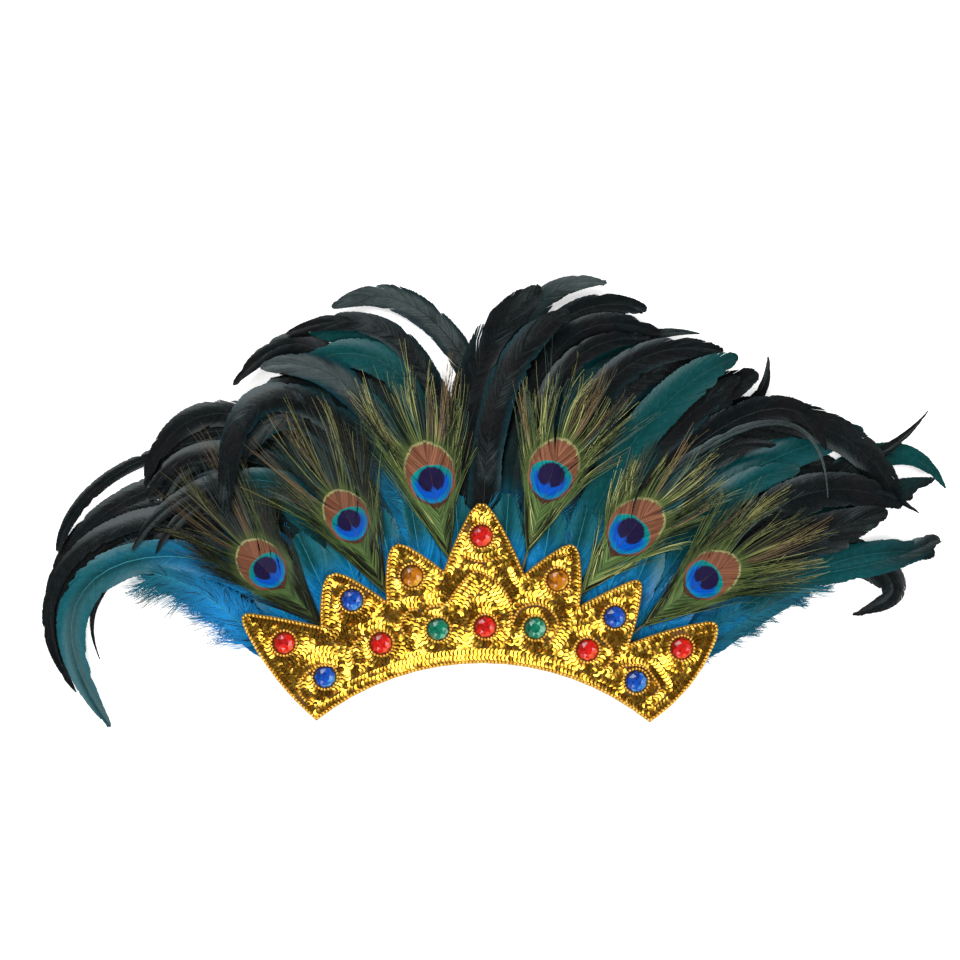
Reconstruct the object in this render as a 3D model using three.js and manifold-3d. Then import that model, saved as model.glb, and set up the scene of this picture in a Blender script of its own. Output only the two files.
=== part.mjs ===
// Carnival feather headdress: a flat sequinned crown panel set with cut stones in bead rings, a peacock
// eye feather in each notch of the panel, and two rows of cock feathers fanned out behind it. It lies on
// its back with the face up. Millimetres, +Z up out of the face, +Y towards the crown's points.
import * as THREE from "three";
import { mergeVertices } from "three/addons/utils/BufferGeometryUtils.js";
import Module from "manifold-3d";

const wasm = await Module();
wasm.setup();

// Driving sizes. The panel is cut from a flat ring, and its drawing origin lies on the middle of the
// brow, ARC_DROP above the centre of that ring.
const ARC_DROP = 217.5;
const BROW_RADIUS = 200;
const SEAT_GAP = 0.3;
const MERGE_TOLERANCE = 1e-3;

// Heights of the layers above the surface that the headdress lies on.
const BACK_BAND = { bottom: 0, thick: 5.4 };
const FRONT_BAND = { bottom: BACK_BAND.thick + SEAT_GAP, thick: 4 };
const STEM_RADIUS = 1.2;
const STEM_HEIGHT = FRONT_BAND.bottom + FRONT_BAND.thick + SEAT_GAP + STEM_RADIUS;
const PANEL_BOTTOM = STEM_HEIGHT + STEM_RADIUS + SEAT_GAP;
const PANEL_THICK = 3;
const PANEL_BEVEL = 0.8;
const PANEL_TOP = PANEL_BOTTOM + PANEL_THICK;

// Trim and stones.
const EDGE_BEAD_RADIUS = 1.2;
const EDGE_INSET = 2.2;
const EDGE_SIDES = 5;
const MITRE_LIMIT = 0.5;
const STONE = { radius: 8, girdle: 1.2, height: 4.6, sides: 10 };
const RING_BEAD_RADIUS = 1.1;
const RING_RADIUS = STONE.radius + SEAT_GAP + RING_BEAD_RADIUS;
const RING_SIDES = 5;
const RING_STEPS = 12;

// The quill bands behind the panel, to which the cock feathers are bound.
const BAND = { inner: 206, outer: 236, half_deg: 36, gap_deg: 0.2, steps: 9 };
const SPLIT = { back_deg: 0, front_deg: -6 };
const ROOT_RADIUS = 226;

// Feather blades: their half thicknesses, and how the layers of cock feathers rise from their bands. The
// layers stay low as far as the crown covers them, and open out beyond it.
const BLADE_TOP = 0.7;
const BLADE_BOTTOM = 0.4;
const COVERED = 70;
const BACK_LEVELS = 3;
const LAYER = { above_band: 0.9, back_rise: 0.025, front_rise: 0.02, opening: 0.02 };
const LIFT_POWER = 4;
const COCK_STATIONS = 8;
const COCK_SHAPE = { root_share: 0.3, full_at: 0.32, taper_from: 0.6 };
const TANGENT_STEP = 0.01;

// Crown points from left to right: the corner of each point as an angle and a radius of the ring, the
// length that its rounding takes off each flank, how far each flank bulges, and the notch to the right
// of it.
const CROWN_POINTS = [
  { deg: -37.7, radius: 302, round: 0.16, left: 12, right: 2, notch_deg: -28, notch_radius: 258 },
  { deg: -23, radius: 297, round: 0.34, left: 4.5, right: 2.5, notch_deg: -16.2, notch_radius: 257 },
  { deg: -13, radius: 302, round: 0.3, left: 4.5, right: 3, notch_deg: -6.1, notch_radius: 271 },
  { deg: -0.1, radius: 328, round: 0.26, left: 4, right: 4, notch_deg: 6.8, notch_radius: 269 },
  { deg: 13.6, radius: 302, round: 0.26, left: 3, right: 5, notch_deg: 16.8, notch_radius: 254 },
  { deg: 24.5, radius: 292, round: 0.2, left: 2, right: 4, notch_deg: 27.3, notch_radius: 242 },
  { deg: 37.8, radius: 295, round: 0.16, left: 5, right: 18 },
];
const BROW_CORNERS = { left_deg: -38.4, right_deg: 39 };
const FLANK_STEPS = 4;
const TIP_STEPS = 3;
const BROW_STEPS = 16;

// Stones: place on the ring of the panel, and colour.
const STONES = [
  { deg: -0.1, radius: 295.5, colour: "red" },
  { deg: -11.2, radius: 270.5, colour: "amber" },
  { deg: 12.2, radius: 268.5, colour: "amber" },
  { deg: -21.5, radius: 266, colour: "blue" },
  { deg: 23.0, radius: 255, colour: "blue" },
  { deg: -34.6, radius: 261.5, colour: "red" },
  { deg: 35.3, radius: 259, colour: "red" },
  { deg: -19.4, radius: 228, colour: "red" },
  { deg: 20.6, radius: 224.5, colour: "red" },
  { deg: -8.3, radius: 228, colour: "green" },
  { deg: 10.0, radius: 230, colour: "green" },
  { deg: 0.6, radius: 227.5, colour: "red" },
  { deg: -31.8, radius: 223.5, colour: "blue" },
  { deg: 31.8, radius: 219.5, colour: "blue" },
];

// Peacock feathers from left to right: the middle of the eye, the direction of the stem there in degrees
// to the right of +Y, how much the herl above the eye bends on from it, and how steeply it rises beyond
// the crown.
const PEACOCKS = [
  { eye_x: -163, eye_y: 54, heading: -45, bend: 2, rise: 0.11 },
  { eye_x: -100, eye_y: 90, heading: -27, bend: -6, rise: 0.145 },
  { eye_x: -38, eye_y: 121, heading: -12, bend: -5, rise: 0.11 },
  { eye_x: 52, eye_y: 124, heading: 17, bend: 5, rise: 0.145 },
  { eye_x: 112, eye_y: 82, heading: 38, bend: 8, rise: 0.11 },
  { eye_x: 169, eye_y: 47, heading: 53, bend: 8, rise: 0.145 },
];
// Half widths of the eye blade along the stem, measured from the middle of the eye.
const EYE_BLADE = [
  { along: -62, half: 3 },
  { along: -38, half: 11 },
  { along: -12, half: 21 },
  { along: 10, half: 24 },
  { along: 26, half: 18 },
  { along: 34, half: 4 },
];
const EYE_TIP = 3;
// Locks of herl: where each leaves the blade, its direction from the stem in degrees, its length and its
// width.
const HERL_LOCKS = [
  { along: -34, across: -8, turn: -26, length: 66, width: 6 },
  { along: -8, across: -16, turn: -27, length: 62, width: 7 },
  { along: 12, across: -14, turn: -24, length: 62, width: 8 },
  { along: 24, across: -7, turn: -12, length: 62, width: 8 },
  { along: 28, across: 0, turn: 0, length: 64, width: 8 },
  { along: 24, across: 7, turn: 12, length: 62, width: 8 },
  { along: 12, across: 14, turn: 24, length: 62, width: 8 },
  { along: -8, across: 16, turn: 27, length: 62, width: 7 },
  { along: -34, across: 8, turn: 26, length: 66, width: 6 },
];
const LOCK_SHAPE = { foot_share: 0.6, widest_at: 0.45 };

// Cock feathers. Each shaft starts at root degrees round the quill band and runs through a knee and a
// crest to its tip. level sets the layer, from 0 on the surface to 5 under the peacock feathers, and
// lift raises the tip.
const COCK_COLUMNS = [
  "root", "knee_x", "knee_y", "crest_x", "crest_y", "tip_x", "tip_y", "width", "level", "lift",
];
const LEFT_COCKS = [
  [-35, -214, 51, -301, 30, -279, -65, 24, 4, -6],
  [-33, -234, 90, -315, 49, -306, -39, 17, 1, 0],
  [-31, -242, 98, -318, 71, -325, 0, 14, 0, 0],
  [-28, -204, 113, -279, 124, -318, 68, 9, 0, 6],
  [-24, -170, 120, -215, 111, -260, 68, 17, 4, 0],
  [-20, -137, 150, -208, 171, -254, 123, 18, 1, 2],
  [-22, -144, 128, -219, 139, -252, 105, 12, 2, 0],
  [-14, -80, 135, -148, 182, -191, 92, 20, 5, 8],
  [-15.5, -88, 120, -144, 167, -182, 128, 17, 4, 0],
  [-10, -84, 165, -129, 221, -186, 191, 12, 1, 5],
  [-11.5, -68, 120, -103, 191, -164, 201, 20, 3, 6],
  [-5, -32, 158, -65, 221, -147, 218, 17, 1, 0],
  [-4, -27, 150, -58, 229, -146, 227, 14, 2, 3],
  [-2, -11, 180, -43, 249, -114, 248, 18, 0, 10],
  [-35.5, -165, 13, -200, 22, -249, 26, 26, 3, 0],
  [-8.5, -62, 98, -88, 150, -114, 180, 14, 2, 0],
  [-30, -159, 60, -197, 98, -238, 101, 20, 2, 0],
];
const RIGHT_COCKS = [
  [-3, -20, 135, 0, 221, 44, 263, 26, 3, 12],
  [0, 3, 135, 23, 206, 65, 246, 22, 4, 10],
  [4, 17, 150, 47, 251, 92, 266, 14, 0, 10],
  [5.5, 25, 143, 62, 242, 124, 249, 13, 1, 8],
  [4.5, 29, 143, 70, 229, 134, 230, 19, 2, 3],
  [6, 36, 143, 74, 214, 126, 225, 15, 3, 4],
  [8.5, 59, 150, 104, 218, 164, 230, 11, 0, 6],
  [7.5, 47, 128, 81, 203, 137, 221, 14, 1, 0],
  [9.5, 59, 120, 100, 199, 180, 219, 20, 4, 10],
  [11, 70, 120, 111, 188, 179, 203, 17, 3, 5],
  [14, 89, 105, 126, 165, 190, 212, 22, 5, 14],
  [16, 98, 98, 137, 150, 192, 197, 20, 4, 8],
  [18, 119, 105, 175, 173, 209, 197, 21, 3, 6],
  [17, 134, 128, 205, 186, 215, 213, 9, 0, 8],
  [20, 136, 108, 201, 176, 266, 172, 22, 4, 12],
  [22, 156, 98, 227, 139, 287, 158, 18, 1, 2],
  [23.5, 179, 113, 276, 159, 315, 96, 17, 2, 4],
  [25, 194, 105, 291, 135, 335, 171, 8, 0, 14],
  [26.5, 209, 90, 312, 140, 348, 114, 9, 0, 8],
  [28, 216, 83, 299, 113, 339, 123, 11, 1, 6],
  [27, 186, 75, 261, 113, 311, 101, 25, 3, 8],
  [29.5, 197, 60, 254, 83, 299, 98, 22, 4, 6],
  [33, 197, 23, 276, 56, 348, 69, 18, 1, 8],
  [34, 239, 38, 315, 45, 282, 20, 11, 0, 0],
  [35.5, 180, 7, 221, 25, 276, 53, 24, 0, 0],
  [21, 164, 143, 231, 161, 258, 107, 6, 5, 6],
  [19, 134, 98, 171, 139, 220, 146, 17, 5, 0],
  [25.5, 156, 75, 194, 113, 239, 128, 20, 2, 0],
  [12.5, 77, 90, 107, 143, 156, 180, 18, 2, 0],
  [31.5, 179, 45, 231, 68, 276, 71, 20, 2, 0],
];

const rad = THREE.MathUtils.degToRad;
const UP = new THREE.Vector3(0, 0, 1);

// A point of the panel's ring, from the drawing origin.
function onRing(deg, radius) {
  return new THREE.Vector2(radius * Math.sin(rad(deg)), radius * Math.cos(rad(deg)) - ARC_DROP);
}

// How far a point lies outside the circle of the feather roots.
function spreadOf(point) {
  return Math.max(0, Math.hypot(point.x, point.y + ARC_DROP) - ROOT_RADIUS);
}

// Unit vector at so many degrees to the right of +Y.
function heading(deg) {
  return new THREE.Vector2(Math.sin(rad(deg)), Math.cos(rad(deg)));
}

// A closed surface through rings of points. A ring of one point is a tip, and a looped row of rings has
// no ends.
function loft(rings, looped = false) {
  const positions = rings.flat().flatMap((p) => [p.x, p.y, p.z]);
  const starts = rings.map((ring, i) => rings.slice(0, i).reduce((sum, r) => sum + r.length, 0));
  const faces = [];
  const spans = looped ? rings.length : rings.length - 1;
  for (let i = 0; i < spans; i += 1) {
    const j = (i + 1) % rings.length;
    const count = Math.max(rings[i].length, rings[j].length);
    for (let k = 0; k < count; k += 1) {
      const next = (k + 1) % count;
      const a = starts[i] + (k % rings[i].length);
      const b = starts[i] + (next % rings[i].length);
      const c = starts[j] + (k % rings[j].length);
      const d = starts[j] + (next % rings[j].length);
      if (a !== b) faces.push(a, b, c);
      if (c !== d) faces.push(b, d, c);
    }
  }
  const caps = looped ? [] : [0, rings.length - 1];
  for (const i of caps) {
    for (let k = 1; k + 1 < rings[i].length; k += 1) {
      const fan = [starts[i], starts[i] + k, starts[i] + k + 1];
      faces.push(...(i === 0 ? fan.reverse() : fan));
    }
  }
  const geometry = new THREE.BufferGeometry();
  geometry.setAttribute("position", new THREE.Float32BufferAttribute(positions, 3));
  geometry.setIndex(faces);
  return geometry;
}

// Joins closed geometries into one body.
function fuse(geometries) {
  const solids = geometries.map((geometry) => {
    const bare = geometry.clone();
    bare.deleteAttribute("normal");
    bare.deleteAttribute("uv");
    const merged = mergeVertices(bare, MERGE_TOLERANCE);
    const vertProperties = merged.attributes.position.array;
    const triVerts = new Uint32Array(merged.index.array);
    return new wasm.Manifold(new wasm.Mesh({ numProp: 3, vertProperties, triVerts }));
  });
  const { vertProperties, triVerts } = solids.reduce((sum, solid) => sum.add(solid)).getMesh();
  const geometry = new THREE.BufferGeometry();
  geometry.setAttribute("position", new THREE.BufferAttribute(vertProperties, 3));
  geometry.setIndex(new THREE.BufferAttribute(triVerts, 1));
  return geometry;
}

function piece(name, geometry, material) {
  geometry.computeVertexNormals();
  const mesh = new THREE.Mesh(geometry, material);
  mesh.name = name;
  return mesh;
}

function finish(color, roughness, metalness) {
  return new THREE.MeshStandardMaterial({ color, roughness, metalness });
}

const materials = {
  sequin: finish(0xc99a1e, 0.3, 0.9),
  bead: finish(0xd9a52b, 0.28, 0.95),
  red: finish(0xc8141c, 0.08, 0),
  amber: finish(0xd08a12, 0.08, 0),
  blue: finish(0x0f3fb4, 0.08, 0),
  green: finish(0x0f8560, 0.08, 0),
  peacock: finish(0x5c6a2c, 0.45, 0.2),
  cock: finish(0x10211f, 0.4, 0.1),
};

// Crown panel

// One flank of a crown point as a quadratic curve from its foot to its corner, cut short for the
// rounding.
function flank(foot, corner, bulge, outwards, share) {
  const along = corner.clone().sub(foot).normalize();
  const normal = new THREE.Vector2(-along.y, along.x).multiplyScalar(bulge * outwards);
  const control = foot.clone().add(corner).multiplyScalar(0.5).add(normal);
  const whole = new THREE.QuadraticBezierCurve(foot, control, corner);
  return { foot, control: foot.clone().lerp(control, 1 - share), shoulder: whole.getPoint(1 - share) };
}

// The panel's outline, as points from the left brow corner over the crown points and back along the
// brow.
function crownOutline() {
  const points = [];
  const left = onRing(BROW_CORNERS.left_deg, BROW_RADIUS);
  const right = onRing(BROW_CORNERS.right_deg, BROW_RADIUS);
  const notches = CROWN_POINTS.slice(0, -1).map((p) => onRing(p.notch_deg, p.notch_radius));
  CROWN_POINTS.forEach((p, i) => {
    const tip = onRing(p.deg, p.radius);
    const rising = flank(notches[i - 1] ?? left, tip, p.left, 1, p.round);
    const falling = flank(notches[i] ?? right, tip, p.right, -1, p.round);
    const up = new THREE.QuadraticBezierCurve(rising.foot, rising.control, rising.shoulder);
    const over = new THREE.QuadraticBezierCurve(rising.shoulder, tip, falling.shoulder);
    const down = new THREE.QuadraticBezierCurve(falling.shoulder, falling.control, falling.foot);
    points.push(...up.getPoints(FLANK_STEPS).slice(0, -1));
    points.push(...over.getPoints(TIP_STEPS).slice(0, -1));
    points.push(...down.getPoints(FLANK_STEPS).slice(0, -1));
  });
  for (let i = 0; i < BROW_STEPS; i += 1) {
    const deg = THREE.MathUtils.lerp(BROW_CORNERS.right_deg, BROW_CORNERS.left_deg, i / BROW_STEPS);
    points.push(onRing(deg, BROW_RADIUS));
  }
  return points;
}

// The outline moved inwards by an even distance, with its corners kept.
function inset(points, distance) {
  const count = points.length;
  return points.map((point, i) => {
    const before = point.clone().sub(points[(i + count - 1) % count]).normalize();
    const after = points[(i + 1) % count].clone().sub(point).normalize();
    const inwards = new THREE.Vector2(before.y + after.y, -before.x - after.x).normalize();
    const stretch = Math.max(MITRE_LIMIT, inwards.x * after.y - inwards.y * after.x);
    return point.clone().addScaledVector(inwards, distance / stretch);
  });
}

function crownPanel(outline) {
  const depth = PANEL_THICK - 2 * PANEL_BEVEL;
  const geometry = new THREE.ExtrudeGeometry(new THREE.Shape(outline), {
    depth,
    bevelThickness: PANEL_BEVEL,
    bevelSize: PANEL_BEVEL,
    bevelOffset: -PANEL_BEVEL,
    bevelSegments: 1,
  });
  geometry.translate(0, 0, PANEL_BOTTOM + PANEL_BEVEL);
  return piece("crown_panel", geometry, materials.sequin);
}

// A string of edge beads as the tube that it fills, couched on the face along the outline.
function edgeBeading(outline) {
  const path = inset(outline, EDGE_INSET);
  const height = PANEL_TOP + SEAT_GAP + EDGE_BEAD_RADIUS;
  const rings = path.map((point, i) => {
    const last = path[(i + path.length - 1) % path.length];
    const ahead = path[(i + 1) % path.length].clone().sub(last).normalize();
    return Array.from({ length: EDGE_SIDES }, (_, k) => {
      const turn = (2 * Math.PI * k) / EDGE_SIDES;
      const out = EDGE_BEAD_RADIUS * Math.cos(turn);
      const up = EDGE_BEAD_RADIUS * Math.sin(turn);
      return new THREE.Vector3(point.x - ahead.y * out, point.y + ahead.x * out, height + up);
    });
  });
  return piece("edge_beading", loft(rings, true), materials.bead);
}

// Stones and their bead rings

// A flat-backed round stone: girdle, a band of kites, a band of star facets and the table.
function stoneGeometry() {
  const step = (2 * Math.PI) / STONE.sides;
  const ring = (radius, height, shift) =>
    Array.from({ length: STONE.sides }, (_, k) => {
      const turn = step * (k + shift);
      return new THREE.Vector3(radius * Math.cos(turn), radius * Math.sin(turn), height);
    });
  const bands = [
    { radius: 1, height: 0, shift: 0 },
    { radius: 1, height: STONE.girdle, shift: 0 },
    { radius: 0.82, height: STONE.height * 0.66, shift: 0.5 },
    { radius: 0.55, height: STONE.height, shift: 1 },
  ];
  return loft(bands.map((b) => ring(b.radius * STONE.radius, b.height, b.shift)));
}

function stonesAndRings() {
  const group = new THREE.Group();
  group.position.z = PANEL_TOP + SEAT_GAP;
  STONES.forEach((stone, i) => {
    const place = onRing(stone.deg, stone.radius);
    const label = String(i + 1).padStart(2, "0");
    const gem = piece(`stone_${label}`, stoneGeometry(), materials[stone.colour]);
    gem.position.set(place.x, place.y, 0);
    const torus = new THREE.TorusGeometry(RING_RADIUS, RING_BEAD_RADIUS, RING_SIDES, RING_STEPS);
    const ring = piece(`bead_ring_${label}`, torus, materials.bead);
    ring.position.set(place.x, place.y, RING_BEAD_RADIUS);
    group.add(gem, ring);
  });
  return group;
}

// Feathers

// A thin pointed blade with a raised shaft line: stations give the middle, the half width and the run of
// the shaft.
function blade(stations, tip) {
  const rings = stations.map(({ middle, half, ahead }) => {
    const side = new THREE.Vector3().crossVectors(ahead, UP).normalize().multiplyScalar(half);
    return [
      middle.clone().sub(side),
      middle.clone().addScaledVector(UP, BLADE_TOP),
      middle.clone().add(side),
      middle.clone().addScaledVector(UP, -BLADE_BOTTOM),
    ];
  });
  return loft([...rings, [tip]]);
}

// The cubic that passes through four points, each at its share of the way along them.
function throughFour(points) {
  const steps = points.map((p, i) => (i ? p.distanceTo(points[i - 1]) : 0));
  const total = steps.reduce((sum, s) => sum + s);
  const shares = steps.map((_, i) => steps.slice(0, i + 1).reduce((sum, s) => sum + s) / total);
  return (t) => {
    const at = new THREE.Vector2();
    points.forEach((point, i) => {
      const weight = shares.reduce((w, s, j) => (i === j ? w : (w * (t - s)) / (shares[i] - s)), 1);
      at.addScaledVector(point, weight);
    });
    return at;
  };
}

// Height of a cock feather's layer above the surface, which opens out beyond the crown.
function layerHeight(level, spread) {
  const front = level >= BACK_LEVELS;
  const base = LAYER.above_band + (front ? FRONT_BAND.bottom : BACK_BAND.bottom);
  const rise = front ? LAYER.front_rise * (level - BACK_LEVELS) : LAYER.back_rise * level;
  return base + rise * Math.min(spread, COVERED) + LAYER.opening * level * Math.max(0, spread - COVERED);
}

// Share of a cock feather's full width, from its narrow root to its pointed tip.
function cockWidth(t) {
  const { root_share, full_at, taper_from } = COCK_SHAPE;
  const root = THREE.MathUtils.lerp(root_share, 1, THREE.MathUtils.smoothstep(t, 0, full_at));
  const tip = Math.sqrt(1 - (Math.max(0, t - taper_from) / (1 - taper_from)) ** 2);
  return root * tip;
}

function cockBlade(row) {
  const f = Object.fromEntries(COCK_COLUMNS.map((column, i) => [column, row[i]]));
  const shaft = throughFour([
    onRing(f.root, ROOT_RADIUS),
    new THREE.Vector2(f.knee_x, f.knee_y),
    new THREE.Vector2(f.crest_x, f.crest_y),
    new THREE.Vector2(f.tip_x, f.tip_y),
  ]);
  const place = (t) => {
    const flat = shaft(t);
    return new THREE.Vector3(flat.x, flat.y, layerHeight(f.level, spreadOf(flat)) + f.lift * t ** LIFT_POWER);
  };
  const stations = Array.from({ length: COCK_STATIONS }, (_, i) => {
    const t = i / COCK_STATIONS;
    const ahead = place(t + TANGENT_STEP).sub(place(Math.max(0, t - TANGENT_STEP)));
    return { middle: place(t), half: (f.width / 2) * cockWidth(t), ahead };
  });
  return blade(stations, place(1));
}

// The band of bound quills at the foot of one row of feathers, over part of the ring.
function quillBand(from, to, { bottom, thick }) {
  const rings = Array.from({ length: BAND.steps + 1 }, (_, i) => {
    const deg = THREE.MathUtils.lerp(from, to, i / BAND.steps);
    const inner = onRing(deg, BAND.inner);
    const outer = onRing(deg, BAND.outer);
    return [
      new THREE.Vector3(inner.x, inner.y, bottom),
      new THREE.Vector3(outer.x, outer.y, bottom),
      new THREE.Vector3(outer.x, outer.y, bottom + thick),
      new THREE.Vector3(inner.x, inner.y, bottom + thick),
    ];
  });
  return loft(rings);
}

function cockFringes() {
  const group = new THREE.Group();
  const level = COCK_COLUMNS.indexOf("level");
  const rowsOf = {
    back: (row) => row[level] < BACK_LEVELS,
    front: (row) => row[level] >= BACK_LEVELS,
  };
  const bands = [
    { place: "back", band: BACK_BAND, split: SPLIT.back_deg },
    { place: "front", band: FRONT_BAND, split: SPLIT.front_deg },
  ];
  for (const { place, band, split } of bands) {
    const sides = [
      { side: "left", rows: LEFT_COCKS, from: -BAND.half_deg, to: split - BAND.gap_deg },
      { side: "right", rows: RIGHT_COCKS, from: split + BAND.gap_deg, to: BAND.half_deg },
    ];
    for (const { side, rows, from, to } of sides) {
      const blades = rows.filter(rowsOf[place]).map(cockBlade);
      const geometry = fuse([quillBand(from, to, band), ...blades]);
      group.add(piece(`cock_fringe_${side}_${place}`, geometry, materials.cock));
    }
  }
  return group;
}

// Where a peacock stem meets the circle of the feather roots, going back from the eye.
function stemRoot(eye, along) {
  const fromCentre = new THREE.Vector2(eye.x, eye.y + ARC_DROP);
  const back = fromCentre.dot(along);
  const reach = back - Math.sqrt(back * back - fromCentre.lengthSq() + ROOT_RADIUS * ROOT_RADIUS);
  return eye.clone().addScaledVector(along, -reach);
}

function peacockFeather(row) {
  const eye = new THREE.Vector2(row.eye_x, row.eye_y);
  const along = heading(row.heading);
  const across = new THREE.Vector2(along.y, -along.x);
  const place = (u, v) => eye.clone().addScaledVector(along, u).addScaledVector(across, v);
  const flat = (point) => new THREE.Vector3(point.x, point.y, 0);
  const ahead = flat(along);
  const reach = eye.distanceTo(stemRoot(eye, along));
  const tip = EYE_BLADE.at(-1).along + EYE_TIP;
  const stem = blade(
    [-reach, EYE_BLADE[0].along, 0].map((u) => ({ middle: flat(place(u, 0)), half: STEM_RADIUS, ahead })),
    flat(place(tip, 0)),
  );
  const eyeBlade = blade(
    EYE_BLADE.map(({ along: u, half }) => ({ middle: flat(place(u, 0)), half, ahead })),
    flat(place(tip, 0)),
  );
  const locks = HERL_LOCKS.map((lock) => {
    const run = heading(row.heading + lock.turn + row.bend);
    const at = (share) => flat(place(lock.along, lock.across).addScaledVector(run, share * lock.length));
    const stations = [
      { middle: at(0), half: (lock.width / 2) * LOCK_SHAPE.foot_share, ahead: flat(run) },
      { middle: at(LOCK_SHAPE.widest_at), half: lock.width / 2, ahead: flat(run) },
    ];
    return blade(stations, at(1));
  });
  const geometry = fuse([stem, eyeBlade, ...locks]);
  const position = geometry.attributes.position;
  for (let i = 0; i < position.count; i += 1) {
    const point = new THREE.Vector3().fromBufferAttribute(position, i);
    const height = STEM_HEIGHT + row.rise * Math.max(0, spreadOf(point) - COVERED);
    position.setZ(i, point.z + height);
  }
  return geometry;
}

function peacockFeathers() {
  const group = new THREE.Group();
  PEACOCKS.forEach((row, i) => {
    group.add(piece(`peacock_feather_${i + 1}`, peacockFeather(row), materials.peacock));
  });
  return group;
}

// Assembly: the parts are drawn from the middle of the brow, then moved so that the origin lies at the
// middle of the footprint on the surface that the headdress lies on.
const assembly = new THREE.Group();
const outline = crownOutline();
assembly.add(cockFringes(), peacockFeathers(), crownPanel(outline), edgeBeading(outline), stonesAndRings());
assembly.updateMatrixWorld(true);
const footprint = new THREE.Box3().setFromObject(assembly, true);
const middle = footprint.getCenter(new THREE.Vector3());
assembly.position.set(-middle.x, -middle.y, -footprint.min.z);

const headdress = new THREE.Group();
headdress.add(assembly);
export default headdress;
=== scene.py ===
import functools
import math
import bmesh
import bpy
import numpy as np
from mathutils import Matrix, Vector


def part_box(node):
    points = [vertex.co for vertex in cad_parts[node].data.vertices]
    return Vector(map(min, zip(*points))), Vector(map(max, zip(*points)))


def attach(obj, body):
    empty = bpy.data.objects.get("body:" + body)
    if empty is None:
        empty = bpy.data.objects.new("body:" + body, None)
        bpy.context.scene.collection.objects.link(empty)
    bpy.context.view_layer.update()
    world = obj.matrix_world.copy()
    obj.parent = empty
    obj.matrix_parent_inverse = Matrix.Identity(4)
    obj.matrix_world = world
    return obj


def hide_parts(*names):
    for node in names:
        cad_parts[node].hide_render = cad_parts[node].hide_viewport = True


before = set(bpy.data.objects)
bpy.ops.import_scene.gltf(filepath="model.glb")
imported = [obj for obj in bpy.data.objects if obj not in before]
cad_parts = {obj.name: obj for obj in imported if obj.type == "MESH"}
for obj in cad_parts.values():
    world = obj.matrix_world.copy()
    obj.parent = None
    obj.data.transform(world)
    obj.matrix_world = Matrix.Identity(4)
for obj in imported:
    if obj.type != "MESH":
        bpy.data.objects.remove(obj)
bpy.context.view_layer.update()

# Camera
# The headdress lies flat with its brow edge towards the viewer, and a long lens looks straight down
# on it, so that the fan opens up the picture.
CAMERA_OVER = (-0.0077, 0.0195)
CAMERA_HEIGHT = 2.4157
LENS_MM = 120.0
SENSOR_MM = 36.0
camera_lens = bpy.data.cameras.new("camera_over_headdress")
camera_lens.lens = LENS_MM
camera_lens.sensor_width = SENSOR_MM
camera = bpy.data.objects.new("camera_over_headdress", camera_lens)
camera.location = (*CAMERA_OVER, CAMERA_HEIGHT)
bpy.context.scene.collection.objects.link(camera)
bpy.context.scene.camera = camera
bpy.context.scene.view_settings.view_transform = "Standard"

# Floor and studio light
# A white light table under the headdress, so that no shadow shows, and large cloth softboxes round it.
# The room above is dim, so that the tilted sequins and the black feathers catch the boxes in the dark.
CARD_WHITE = (238, 238, 236)
CARD_PALE = (244, 244, 242)
CARD_GRAIN = 900.0
CARD_HALF = 6.0
CARD_DROP = 0.0004
CARD_GLOW = 0.52
ROOM_LIGHT = 0.1
# Each softbox stands towards an azimuth from +X, at an elevation, and has a side and a power.
SOFTBOXES = [
    {"azimuth": 122, "elevation": 50, "away": 2.3, "side": 1.5, "watts": 48},
    {"azimuth": 352, "elevation": 48, "away": 2.3, "side": 1.4, "watts": 32},
    {"azimuth": 245, "elevation": 48, "away": 2.3, "side": 1.4, "watts": 32},
]


def paint(red, green, blue):
    """A colour as it shows on a screen, from 0 to 255, as a shader takes it."""
    shares = np.array([red, green, blue]) / 255
    linear = np.where(shares <= 0.04045, shares / 12.92, ((shares + 0.055) / 1.055) ** 2.4)
    return (*linear.tolist(), 1.0)


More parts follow.
